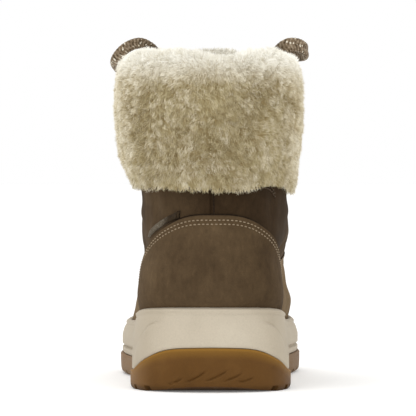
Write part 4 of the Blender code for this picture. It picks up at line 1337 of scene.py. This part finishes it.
def tongue_sheet(under):
    """A face of the tongue, a depth under the upper's outside, running up past the collar."""
    levels = np.linspace(TONGUE_LOW_LEVEL, LEVELS, 60)
    shares = np.linspace(-1, 1, 41)
    middle = UPPER_RINGS[-1].middle
    v, share = ravelled(levels, shares)
    k = front_column(middle + TONGUE_HALF * share, v)
    edge = np.minimum(1 - np.abs(share), 0.12) / 0.12
    depth = blend(sum(TONGUE_UNDER) / 2, under, np.sqrt(1 - (1 - edge) ** 2))
    rows = list(upper_at(k, v, -depth)[0].reshape(len(levels), len(shares), 3))
    top = rows[-1]
    reach = TONGUE_TOP_Z - 2.0 - TONGUE_CORNER * np.abs(shares) ** 3 - COLLAR_Z
    for rise in np.linspace(0.1, 1.0, 12):
        thin = ease(rise, 0.75, 1.15)
        x = blend(top[:, 0], top[:, 0] * 0.98, rise)
        y = top[:, 1] + 1.4 * rise + (under - sum(TONGUE_UNDER) / 2) * thin
        rows.append(np.column_stack([x, y, COLLAR_Z + reach * rise]))
    return np.array(rows)


def make_tongue():
    inner, outer = tongue_sheet(TONGUE_UNDER[1]), tongue_sheet(TONGUE_UNDER[0])
    half = (inner + outer) / 2
    faces = sheet_faces(*half.shape[:2])
    leather, pile = np.concatenate([half, outer]), np.concatenate([inner, half])
    make_mesh("tongue_nubuck", leather, faces, SHAFT_NUBUCK, "tongue")
    make_mesh("tongue_pile", pile, faces, PILE, "tongue")


# --- side tab ---------------------------------------------------------------------------------
def add_strip_uv(made, columns_uv):
    """Gives each point of a mesh its (u, v) in millimetres."""
    layer = made.data.uv_layers.new(name="UVMap")
    index = np.empty(len(made.data.loops), np.int32)
    made.data.loops.foreach_get("vertex_index", index)
    layer.data.foreach_set("uv", np.asarray(columns_uv, np.float32)[index].ravel())


def make_side_tab():
    """A tape folded in half and sewn on, its folded end towards the back seam."""
    x = np.linspace(TAB_BACK_X + 0.6, TAB_FRONT_X - 0.4, 30)
    k = column_of(x, level_of(np.full(len(x), 4.0), np.full(len(x), 97.0)), 9.0, 0.0)
    y = upper_place(k, level_of(k, 0.0 * k + 95.0))[:, 1]
    edge = height_at(COUNTER_EDGE, y) + TAB_ABOVE - 1.2
    far = walk(np.column_stack([x, y]))
    shares = np.linspace(0, 1, 13)
    sides, uv = [[], []], []
    for share in shares:
        v = level_of(k, edge + TAB_WIDE * blend(0.06, 0.84, share))
        place, out = upper_place(k, v), upper_out(k, v)
        puff = 1.6 * bell(far - 1.2, 1.6) + 1.0
        rounded = np.sqrt(1 - (2 * share - 1) ** 6)
        end = np.sqrt(np.clip(1 - (1 - np.clip(far / 1.0, 0, 1)) ** 2, 0, 1))
        sides[0].append(place + out * 0.2)
        sides[1].append(place + out * (0.3 + puff * rounded * (0.25 + 0.75 * end))[:, None])
        uv.append(np.column_stack([far, 0 * far + share * TAB_WIDE]))
    faces = sheet_faces(len(shares), len(k))
    made = make_mesh("woven_tab", sides[0] + sides[1], faces, WEBBING, "side_tab")
    add_strip_uv(made, np.array(uv * 2).reshape(-1, 2))


# --- lace -------------------------------------------------------------------------------------
ROUTE_PITCH = 0.5


def along_route(points):
    """Evenly spaced places on the smooth curve through the points."""
    fine = through(points, np.linspace(0, len(points) - 1, 60 * len(points)))
    far = walk(fine)
    at = np.linspace(0, far[-1], max(int(far[-1] / ROUTE_PITCH), 8) + 1)
    return stops_at(fine, far, at), at


def make_band(name, solid, route, facing, wide, thick, start=0.0, shade=0.0):
    """A flat braided band along a route; facing, wide, thick and shade, the painted shade on it, may
    change along it.
    """
    line, at = along_route(route)
    count = len(line)
    share = np.linspace(0, 1, count)

    def spread(value):
        value = np.atleast_1d(np.asarray(value, float))
        return np.interp(share, np.linspace(0, 1, len(value)), value)[:, None]

    faced = np.atleast_2d(np.asarray(facing, float))
    if len(faced) > 1:
        faced = through(faced, share * (len(faced) - 1))
    ahead = unit(np.gradient(line, axis=0))
    out = unit(faced - np.sum(faced * ahead, axis=1, keepdims=True) * ahead)
    across = np.cross(ahead, out)
    wide, thick, shade = spread(wide), spread(thick), spread(shade)
    turn = turns(BAND_SIDES)
    flat = np.sign(np.cos(turn)) * np.abs(np.cos(turn)) ** 0.6
    deep = np.sign(np.sin(turn)) * np.abs(np.sin(turn)) ** 0.8
    u = (at + start)[:, None] + 0.0 * flat
    v = LACE_HALF + LACE_HALF * flat[None, :] + 0.0 * at[:, None]
    slope = u + BRAID_SLANT * np.abs(v - LACE_HALF)
    braid = BRAID_DEEP * np.sin(2 * math.pi * slope / BRAID_PITCH)
    swell = (braid - 0.25 * bell(v - LACE_HALF, 0.45)) * np.clip(thick / LACE_THICK, 0, 1.2)
    points = line[:, None, :] + across[:, None, :] * (flat * (wide / 2 + 0.6 * braid))[..., None]
    points = points + out[:, None, :] * (deep * (thick / 2 + swell))[..., None]
    made = make_mesh(name, points, tube_faces(count, BAND_SIDES), LACE, solid)
    add_strip_uv(made, np.column_stack([u.ravel(), v.ravel()]))
    # Painted shade: the band's inner face is marked dark, and so is any stretch with a shade over zero.
    inner = np.maximum(ease(-deep, 0.0, 0.5)[None, :] * np.minimum(1 + shade, 1), shade)
    mark_points(made.data, "inner", inner)
    return made, line, float(at[-1])


# Which way the flat of each loop looks, at even steps from its start to its end.
FACE_LATERAL = [
    (0.0, 0.5, 0.9), (0.0, -0.2, 1.0), (0.2, -0.8, 0.5), (0.1, -1.0, 0.1), (0.0, -1.0, 0.1),
    (-0.1, -1.0, 0.1), (-0.6, -0.9, 0.0), (-0.7, -0.2, -0.7), (-0.3, 0.6, -0.7),
    (0.0, 0.9, -0.4), (0.0, 0.9, -0.4), (0.0, 0.8, -0.6),
]
FACE_MEDIAL = [
    (0.0, 0.5, 0.9), (-0.2, 0.8, 0.6), (-0.3, 0.95, 0.3), (-0.2, 1.0, 0.2), (0.1, 1.0, 0.2),
    (0.8, 0.4, 0.2), (0.6, -0.8, 0.2), (0.1, -0.95, 0.3), (-0.3, -0.9, 0.45), (-0.9, -0.4, 0.3),
    (-0.4, -0.9, 0.2), (0.0, -1.0, 0.0),
]
# Painted shade on the lace at even steps from the loop's start to its end; below zero, how much of the
# painted shade on its inner face is taken off.
SHADE_LATERAL = [0.0, 0.0, 0.4, 0.5, 0.0, 0.0, 0.0, 0.0, 0.0, 0.0, 0.0, 0.0]
SHADE_MEDIAL = [0.0, 0.0, 0.0, -0.3, -0.9, -0.9, -0.9, 0.0, 1.0, 1.0, 0.3, 0.0]
LOOP_THICK = 2.8
BAND_SIDES = 20
WIDE_LATERAL = 6.8
WIDE_MEDIAL = [6.0, 6.4, 6.8, 7.2, 7.8, 7.6, 7.6, 8.8, 8.8, 7.2, 6.4, 6.0]


def make_loop(solid, route, facing, wide, shade):
    band = make_band(solid + "_band", solid, route, facing, wide, LOOP_THICK, shade=shade)


AGLET_LONG = 12.0
AGLET_WIDE = 2.6
# The aglet's width from its upper end to its tip, by the distance past the lace's end.
AGLET_PROFILE = (
    (-AGLET_LONG, 0.9), (0.1 - AGLET_LONG, 1.0), (0.7 - AGLET_LONG, 1.02), (1.1 - AGLET_LONG, 0.96),
    (-5.0, 0.98), (-1.2, 0.96), (-0.4, 0.86), (0.15, 0.55), (0.3, 0.2),
)


def make_aglet(name, line):
    """The plain sleeve at a lace's end, along the end of its line."""
    far = walk(line)
    at, wide = np.array(AGLET_PROFILE).T
    places = stops_at(line, far, far[-1] + at)
    ahead = unit(line[-1] - line[-8])
    places[-2:] = line[-1] + ahead * at[-2:, None]
    side = unit(np.cross(ahead, np.array([0.0, 1.0, 0.0])))
    up = np.cross(side, ahead)
    turn = turns(BAND_SIDES)[:, None]
    ring = side[None, :] * np.cos(turn) + up[None, :] * np.sin(turn)
    points = places[:, None, :] + ring[None, :, :] * (wide * AGLET_WIDE / 2)[:, None, None]
    return make_mesh(name, points, tube_faces(len(at), BAND_SIDES), AGLET, sharp=35)


def make_end(solid, route):
    wide = [6.0, 6.0, 6.0, 6.0, 5.8, 5.4, 2.3, 2.2, 2.2]
    thick = [2.6, 2.4, 2.4, 2.4, 2.4, 2.4, 2.2, 2.1, 2.0]
    band = make_band(solid + "_band", solid, route, (0.0, 1.0, 0.1), wide, thick)
    aglet = make_aglet(solid + "_aglet", band[1])


def eyelet_places():
    """The (k, v) places of the eyelets: the outer side's from the lowest, then the inner's."""
    v = np.array(EYELET_ROWS * 2, float)
    side = np.repeat([-1.0, 1.0], len(EYELET_ROWS))
    z = upper_place(np.full(len(v), float(HALF_ROUND)), v)[:, 2]
    k = front_column(side * (throat_half(z) + EYELET_FROM_EDGE), v)
    places = list(zip(k.tolist(), v.tolist()))
    return places[: len(EYELET_ROWS)], places[len(EYELET_ROWS) :]


def front_points(places, lifts):
    """Points over the upper for (k, v) places, and their outward directions."""
    k, v = np.array(places, float).T
    return upper_at(k, v, np.array(lifts, float))


LEFT_EYELETS, RIGHT_EYELETS = eyelet_places()
# Heights of the lace's middle over the upper: the level bar, the lower and the upper crossing.
CROSSING_LIFTS = (3.4, 2.9, 4.7)


def crossing_route(start, end, lift):
    """From inside one eyelet over the tongue into the next, and the way its face looks."""
    stops = [(0.0, EYELET_INSIDE), (0.0, 0.4), (0.035, 2.4), (0.14, lift)]
    stops += [(0.32, lift + 0.2), (0.5, lift + 0.3)]
    stops += [(1 - share, rise) for share, rise in stops[-2::-1]]
    start, end = np.array(start), np.array(end)
    places = [blend(start, end, share) for share, _ in stops]
    route, facing = front_points(places, [rise for _, rise in stops])
    inward = unit(route[6] - route[1])
    facing[0], facing[1] = inward * 0.9 + facing[1] * 0.4, inward * 0.5 + facing[1]
    facing[-1], facing[-2] = -inward * 0.9 + facing[-2] * 0.4, -inward * 0.5 + facing[-2]
    return route, facing


def make_crossings():
    left, right = LEFT_EYELETS, RIGHT_EYELETS
    level, under, over = CROSSING_LIFTS
    bars = [("lace_bar_level", left[0], right[0], level)]
    for i in range(len(EYELET_ROWS) - 1):
        bars.append((f"lace_bar_under_{i + 1}", left[i], right[i + 1], under))
        bars.append((f"lace_bar_over_{i + 1}", right[i], left[i + 1], over))
    wide = [3.6, 3.8, 4.6, 5.6, 6.0, 6.0, 6.0, 5.6, 4.6, 3.8, 3.6]
    thick = [2.2, 2.2, 2.0, 1.9, 1.8, 1.8, 1.8, 1.9, 2.0, 2.2, 2.2]
    for n, (name, start, end, lift) in enumerate(bars):
        make_band(name, "lace_crossings", *crossing_route(start, end, lift), wide, thick, 17.0 * n)
    for side, label, place in ((-1, "lateral", left[-1]), (1, "medial", right[-1])):
        (low, high), (out, _) = front_points([place, place], [EYELET_INSIDE, 2.6])
        near = np.array(KNOT_CENTRE) + np.array([side * 3.5, -0.5, -1.5])
        route = [low, high, (high + near) / 2 + out * 1.8, near]
        facing = [out - np.array([side * 1.0, 0, 0]), out, out + np.array([0, 0, 0.2]), (0, 1, 0.4)]
        wide, thick = [3.8, 5.4, 6.0, 5.6], [2.2, 1.8, 1.7, 1.9]
        make_band(f"lace_to_knot_{label}", "lace_crossings", route, facing, wide, thick, 40.0)


def make_knot():
    """The bow's knot: a plump core with one turn of the band drawn tight over it."""
    centre = np.array(KNOT_CENTRE)
    rows, sides = 22, 40
    tilt = math.pi * (np.arange(rows + 1)[:, None] / rows - 0.5)
    turn = turns(sides)[None, :]
    fold = np.cos(tilt) * (1 + 0.07 * np.cos(5 * turn + 1.4 * np.sin(tilt * 2)))
    ball = (6.6 * np.sin(tilt) + 0 * turn, 4.2 * fold * np.cos(turn), 4.0 * fold * np.sin(turn))
    points = (centre + np.stack(ball, axis=-1)).reshape(-1, 3)
    faces = grid_faces(rows + 1, sides, closed=True)
    core = make_mesh("lace_knot_core", points, faces, LACE, "lace_knot")
    v = LACE_HALF + LACE_HALF * np.sin(points[:, 2])
    add_strip_uv(core, np.column_stack([points[:, 0] * 0.9 + 3.0, v]))
    turn = np.linspace(0.15 * math.pi, 2.0 * math.pi, 22)
    up, ahead = np.sin(turn - 1.2), np.cos(turn - 1.2)
    ring = centre + np.column_stack([1.6 * np.sin(turn * 0.5) - 0.8, 4.6 * ahead, 4.5 * up])
    make_band("lace_knot_wrap", "lace_knot", ring, np.column_stack([0 * turn, ahead, up]), 5.8, 1.9)


# The eyelet's section, as (radius, height over its seat), from inside its hole round to the back.
EYELET_PROFILE = (
    (2.1, -2.4), (2.1, -0.2), (2.25, 0.3), (2.6, 0.72), (3.1, 0.86), (3.6, 0.72), (4.05, 0.36),
    (4.25, 0.05), (4.15, -0.25), (3.2, -0.35), (2.7, -2.4),
)


def make_eyelets():
    sides = 40
    turn = turns(sides)[:, None]
    rings = grid_faces(len(EYELET_PROFILE), sides, closed=True)
    last = (len(EYELET_PROFILE) - 1) * sides
    rings += [(last + s, last + (s + 1) % sides, (s + 1) % sides, s) for s in range(sides)]
    places = [place for pair in zip(LEFT_EYELETS, RIGHT_EYELETS) for place in pair]
    feet, outs = front_points(places, [EYELET_LIFT - 0.1] * len(places))
    for number, (foot, out) in enumerate(zip(feet, outs), 1):
        first = unit(np.cross(out, np.array([0.0, 0.0, 1.0])))
        away = first * np.cos(turn) + np.cross(out, first) * np.sin(turn)
        metal = np.concatenate([foot + away * radius + out * lift for radius, lift in EYELET_PROFILE])
        disc = np.concatenate([foot + away * 2.3 + out * lift for lift in (-2.6, -2.3)])
        name = f"eyelet_ring_{number}"
        make_mesh(name, metal, rings, METAL, f"eyelet_{number}", sharp=50)
        make_mesh(f"eyelet_hole_{number}", disc, tube_faces(2, sides), EDGE)


# --- fleece -----------------------------------------------------------------------------------
CUFF_REACH = HALF_ROUND * (1.0 - CUFF_FRONT_GAP / 180.0)
Fold = namedtuple("Fold", "out z")
ROOTS = table(
    Fold, (-6.2, 174.0), (-6.2, 183.0), (-5.4, 189.0), (-2.6, 193.0), (1.2, 194.2), (5.0, 192.6),
    (7.6, 188.2), (8.9, 179.5), (9.2, 168.0), (9.1, 156.5), (8.3, 145.0), (6.5, 134.0),
    (3.8, 125.0), (2.0, 118.5),
)
# How far the hem hangs lower or higher behind the ankle, by the side position.
HEM = table(
    Height, (-50.0, 2.0), (-44.0, 1.5), (-30.0, 0.0), (-10.0, 0.0), (10.0, -2.2), (18.0, -1.5),
    (25.0, 1.0), (32.0, 3.0), (38.0, 1.5), (44.0, -3.0), (50.0, -4.0),
)


def fleece_at(k, t):
    """The surface that the wool grows from, t being measured in folds."""
    out, z = through(ROOTS, t).T
    top = ease(z, 150.0, 188.0)
    z = z - CUFF_DIP * bell(k + 0.8, 2.2) * top
    foot, _ = shaft_at(k, np.clip(z, 112.0, 183.0))
    z = z - (1.2 * ease(-foot[:, 0], 36.0, 46.0) + 2.2 * ease(foot[:, 0], 32.0, 44.0)) * top
    hem = height_at(HEM, foot[:, 0]) * (foot[:, 1] < 40.0)
    z = z + hem * (1 - ease(z, 116.0, 150.0))
    foot, away = shaft_at(k, z)
    place = foot + away * out[:, None]
    place[:, 0] -= CUFF_LEAN * ease(out, 1.0, 8.0) * 0.9
    place[:, 2] = z
    return place


def fleece_out(k, t):
    """The direction away from that surface."""
    along = fleece_at(k + 0.1, t) - fleece_at(k - 0.1, t)
    last = len(ROOTS) - 1.0
    down = fleece_at(k, np.minimum(t + 0.1, last)) - fleece_at(k, np.maximum(t - 0.1, 0.0))
    return unit(np.cross(along, down))


def make_fleece_base():
    """The skin under the wool, folded over the collar."""
    k = np.linspace(-CUFF_REACH + 0.25, CUFF_REACH - 0.25, 160)
    count = len(k)
    rows = []
    for t in np.linspace(0, len(ROOTS) - 1, 54):
        at = np.full(count, t)
        row = fleece_at(k, at)
        rows.append(row + fleece_out(k, at) * 0.5 * noise(row, 1.6)[:, None])
    top = COLLAR_Z + 0.5
    for out, z in ((0.4, 117.5), (0.4, 150.0), (0.4, top), (-3.2, top), (-3.2, 176.0)):
        foot, away = shaft_at(k, np.full(count, z))
        place = foot + away * out
        place[:, 2] = z
        rows.append(place)
    last = (len(rows) - 1) * count
    faces = grid_faces(len(rows), count)
    faces += [(last + c, last + c + 1, c + 1, c) for c in range(count - 1)]
    faces += [[r * count + end for r in range(len(rows))] for end in (0, count - 1)]
    make_mesh("fleece_base", rows, faces, FLEECE_BASE, "fleece_cuff")


STRANDS = 114000
STRAND_PIECES = 4
STRAND_WIDE = 0.32
STRAND_LONG = 5.0
STRAND_CURL = 0.7
LOCK_SIZE = 3.2  # how far apart neighbouring locks of wool stand
JITTER = (97, 89)  # the table of the locks' own shifts repeats after this many cells
COLLAR_STEP = 6.9  # how long one step of k is round the collar
TONGUE_STRANDS = 7000
TONGUE_STRAND_LONG = 2.6
TONGUE_STRAND_CURL = 0.5
TONGUE_LOCK_SIZE = 2.4


def strand_mesh(name, line, side, tone, wide):
    """Many ribbons at once: line and side are (ribbons, stops, 3), tone (ribbons, stops)."""
    count, stops = line.shape[:2]
    half = side * (wide / 2)[..., None]
    body = np.stack([line[:, :-1] - half[:, :-1], line[:, :-1] + half[:, :-1]], axis=2)
    points = np.concatenate([body.reshape(count, -1, 3), line[:, -1:]], axis=1)
    per = points.shape[1]
    tones = np.concatenate([np.repeat(tone[:, :-1], 2, axis=1), tone[:, -1:]], axis=1)
    quads = np.array([(2 * s + 1, 2 * s, 2 * s + 2, 2 * s + 3) for s in range(stops - 2)])
    last = 2 * (stops - 2)
    corners = np.concatenate([quads.ravel(), [last + 1, last, last + 2]])
    loops = ((np.arange(count) * per)[:, None] + corners[None, :]).ravel()
    sizes = np.tile(np.array([4] * (stops - 2) + [3]), count)
    starts = np.concatenate([[0], np.cumsum(sizes)[:-1]])
    mesh = bpy.data.meshes.new(name)
    mesh.vertices.add(count * per)
    mesh.vertices.foreach_set("co", (points * MM).astype(np.float32).ravel())
    mesh.loops.add(len(loops))
    mesh.loops.foreach_set("vertex_index", loops.astype(np.int32))
    mesh.polygons.add(len(sizes))
    mesh.polygons.foreach_set("loop_start", starts.astype(np.int32))
    mesh.update(calc_edges=True)
    mesh.shade_smooth()
    mark_points(mesh, "tone", tones)
    mesh.materials.append(FLEECE)
    made = link(name, mesh)
    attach(made, "root")
    return made


def flow(points, scale):
    """A soft repeatable direction field, for the way the pile lies."""
    return np.stack([noise(points, scale, seed) for seed in (3.0, 11.0, 19.0)], axis=-1)


def grow_wool(name, root, out, lay, cell, random, long, curl):
    """Curly wool: out is the surface's direction and cell the lock that each root is in."""
    count = len(root)
    _, index = np.unique(cell, axis=0, return_inverse=True)
    index = index.ravel()
    locks = index.max() + 1
    tally = np.bincount(index, minlength=locks)
    middle = np.stack([np.bincount(index, root[:, i], locks) / tally for i in range(3)], axis=-1)
    lean = random.normal(0, 0.24, (locks, 3))
    lift = random.uniform(0.82, 1.15, locks)
    phase = random.uniform(0, 2 * math.pi, locks)
    hue = random.normal(0, 1, locks)
    lay = lay + 0.75 * flow(root, 12.0)
    way = unit(out + lay + lean[index])
    way_own = unit(way + random.normal(0, 0.26, (count, 3)))
    swell = 1 + 0.16 * noise(root, 7.0, 5.0)
    length = long * lift[index] * swell * random.uniform(0.8, 1.1, count)
    stops = 4
    s = np.linspace(0, 1, stops)[None, :, None]
    across = unit(np.cross(way_own, np.array([0.13, 0.31, 0.94])))
    over = np.cross(way_own, across)
    turn = phase[index] + random.normal(0, 1.2, count)
    share = np.linspace(0, 1, stops)[None, :]
    angle = (turn[:, None] + 2 * math.pi * share)[..., None]
    swirl = across[:, None, :] * np.cos(angle) + over[:, None, :] * np.sin(angle)
    own = root[:, None, :] + way_own[:, None, :] * length[:, None, None] * s * (1 - 0.15 * s)
    own = own + swirl * curl * s**0.7
    reach = (long * lift[index] * swell)[:, None, None]
    centre = middle[index][:, None, :] + way[:, None, :] * reach * s * 0.9
    line = own + (centre - own) * (0.26 * s**1.4)
    line[..., 2] -= 0.8 * (s[..., 0] ** 2) * (1 - out[:, None, 2])
    ahead = unit(np.gradient(line, axis=1))
    facing = out[:, None, :] + random.normal(0, 0.35, (count, 1, 3))
    side = unit(np.cross(facing, ahead))
    tone = share * (0.86 + 0.14 * hue[index])[:, None] + random.normal(0, 0.06, (count, 1)) + 0.06
    wide = STRAND_WIDE * random.uniform(0.75, 1.3, (count, 1)) * np.array([[0.85, 1.0, 0.9, 0.0]])
    return strand_mesh(name, line, side, np.clip(tone, 0, 1), wide)


def lock_of(a, b, size, shifts):
    """The nearest point of a jittered grid to each place."""
    here = np.column_stack([a, b])
    base = np.floor(here / size).astype(int)
    best = np.full(len(a), 1e9)
    chosen = np.zeros((len(a), 2), int)
    for i in (-1, 0, 1):
        for j in (-1, 0, 1):
            cell = base + np.array([i, j])
            shift = shifts[tuple((cell % JITTER).T)]
            far = (((cell + 0.5 + 0.7 * shift) * size - here) ** 2).sum(axis=1)
            nearer = far < best
            best = np.where(nearer, far, best)
            chosen[nearer] = cell[nearer]
    return chosen


def make_tongue_wool():
    """Short wool over the tongue's top edge and the top of its inner face."""
    random = np.random.default_rng(SEED + 1)
    shifts = random.uniform(-0.5, 0.5, (*JITTER, 2))
    sheet = tongue_sheet(TONGUE_UNDER[1])
    sheet = sheet[sheet[:, 20, 2] > 160.0]
    rows, columns = sheet.shape[:2]
    a = random.uniform(0, 1, TONGUE_STRANDS) ** 0.6 * (rows - 1.001)
    b = random.uniform(0, columns - 1.001, TONGUE_STRANDS)
    r, c = a.astype(int), b.astype(int)
    low = blend(sheet[r, c], sheet[r, c + 1], (b - c)[:, None])
    high = blend(sheet[r + 1, c], sheet[r + 1, c + 1], (b - c)[:, None])
    root = blend(low, high, (a - r)[:, None])
    out = unit(np.cross(sheet[r, c + 1] - sheet[r, c], sheet[r + 1, c] - sheet[r, c]))
    out = out * np.where(out[:, 1] > 0.0, -1.0, 1.0)[:, None]
    rim = ease(root[:, 2], TONGUE_TOP_Z - 9.0, TONGUE_TOP_Z - 3.0)
    out = unit(out + rim[:, None] * np.array([0.0, 0.5, 1.3]))
    cell = lock_of(root[:, 0], root[:, 2], TONGUE_LOCK_SIZE, shifts)
    how = (cell, random, TONGUE_STRAND_LONG, TONGUE_STRAND_CURL)
    declare(grow_wool("tongue_strands", root, out, 0.0 * out, *how))


def make_wool():
    random = np.random.default_rng(SEED)
    shifts = random.uniform(-0.5, 0.5, (*JITTER, 2))
    last = len(ROOTS) - 1.0
    fine = np.linspace(0, last, 400)
    far = walk(through(ROOTS, fine))
    for piece in range(STRAND_PIECES):
        count = STRANDS // STRAND_PIECES
        low = -CUFF_REACH + 2 * CUFF_REACH * piece / STRAND_PIECES
        k = random.uniform(low, low + 2 * CUFF_REACH / STRAND_PIECES, count)
        b = random.uniform(6.0, far[-1], count)
        t = np.interp(b, far, fine)
        root, out = fleece_at(k, t), fleece_out(k, t)
        cell = lock_of(k * COLLAR_STEP, b, LOCK_SIZE, shifts)
        upright = np.clip(out[:, 2], 0, 1)
        lay = np.zeros((count, 3))
        lay[:, 2] = -0.35 * (1 - upright) * ease(b, 10.0, 40.0)
        edge = ease(np.abs(k), CUFF_REACH - 1.2, CUFF_REACH)
        along = unit(fleece_at(k + 0.1, t) - fleece_at(k - 0.1, t))
        lay += along * (np.sign(k) * edge)[:, None]
        lay[:, 2] -= 1.1 * ease(b, far[-1] - 9.0, far[-1])
        how = (cell, random, STRAND_LONG, STRAND_CURL)
        made = grow_wool(f"fleece_strands_{piece + 1}", root, out, lay, *how)
        declare(made, "fleece_cuff")


# --- camera, light and floor ------------------------------------------------------------------
def aim_at(made, place, target):
    made.location = place
    way = Vector(target) - Vector(place)
    made.rotation_euler = way.to_track_quat("-Z", "Y").to_euler()


CAMERA_PLACE = (0.0156, -2.016, 0.130)  # in metres, as are the next four
CAMERA_AIM = (-0.002, 0.0, 0.105)
LAMP_PLACE = (-0.3, -0.5, 1.7)
LAMP_AIM = (0.0, 0.02, 0.1)
LAMP_SIZE = 1.2
FLOOR_Z = -0.05
FLOOR_RADII = (1.0, 20000.0)


def make_camera():
    camera = link("camera", bpy.data.cameras.new("camera"))
    camera.data.lens = 300.0
    camera.data.sensor_width = 36.0
    camera.data.clip_end = 100.0
    aim_at(camera, CAMERA_PLACE, CAMERA_AIM)
    scene.camera = camera


def make_studio():
    white = (1.0, 1.0, 1.0, 1.0)
    world = bpy.data.worlds.new("studio")
    world.use_nodes = True
    background = world.node_tree.nodes["Background"]
    background.inputs["Color"].default_value = white
    background.inputs["Strength"].default_value = 1.0
    scene.world = world
    scene.view_settings.view_transform = "Standard"
    light = bpy.data.lights.new("softbox_above", "AREA")
    light.shape = "DISK"
    light.size = LAMP_SIZE
    light.energy = 9.0
    aim_at(link("softbox_above", light), LAMP_PLACE, LAMP_AIM)
    finish = Finish("pale_floor", 0.9, Emission_Color=white, Emission_Strength=0.14)
    cloud = finish.noise(160.0, 2.0, 0.5)
    finish.colour(finish.ramp(cloud, [(0.3, (247, 247, 246)), (0.7, (250, 250, 249))]))
    finish.relief(finish.noise(1.5, 2.0, 0.5), 0.02, 0.3)
    sides = 96
    points = [
        (r * math.cos(turn), r * math.sin(turn), FLOOR_Z) for r in FLOOR_RADII for turn in turns(sides)
    ]
    faces = [list(range(sides))] + grid_faces(2, sides, closed=True)
    mesh = bpy.data.meshes.new("floor")
    mesh.from_pydata(np.array(points) * MM, [], faces)
    mesh.materials.append(finish.material)
    link("floor", mesh)


# --- the boot ---------------------------------------------------------------------------------
make_camera()
make_loop("lace_loop_lateral", LOOP_LATERAL, FACE_LATERAL, WIDE_LATERAL, SHADE_LATERAL)
make_loop("lace_loop_medial", LOOP_MEDIAL, FACE_MEDIAL, WIDE_MEDIAL, SHADE_MEDIAL)
make_end("lace_end_lateral", END_LATERAL)
make_end("lace_end_medial", END_MEDIAL)
make_crossings()
make_knot()
make_eyelets()
make_outsole()
make_midsole()
make_upper()
make_counter()
make_panel_seams()
make_side_tab()
make_lining()
make_insole()
make_tongue()
make_fleece_base()
make_wool()
make_tongue_wool()
make_studio()
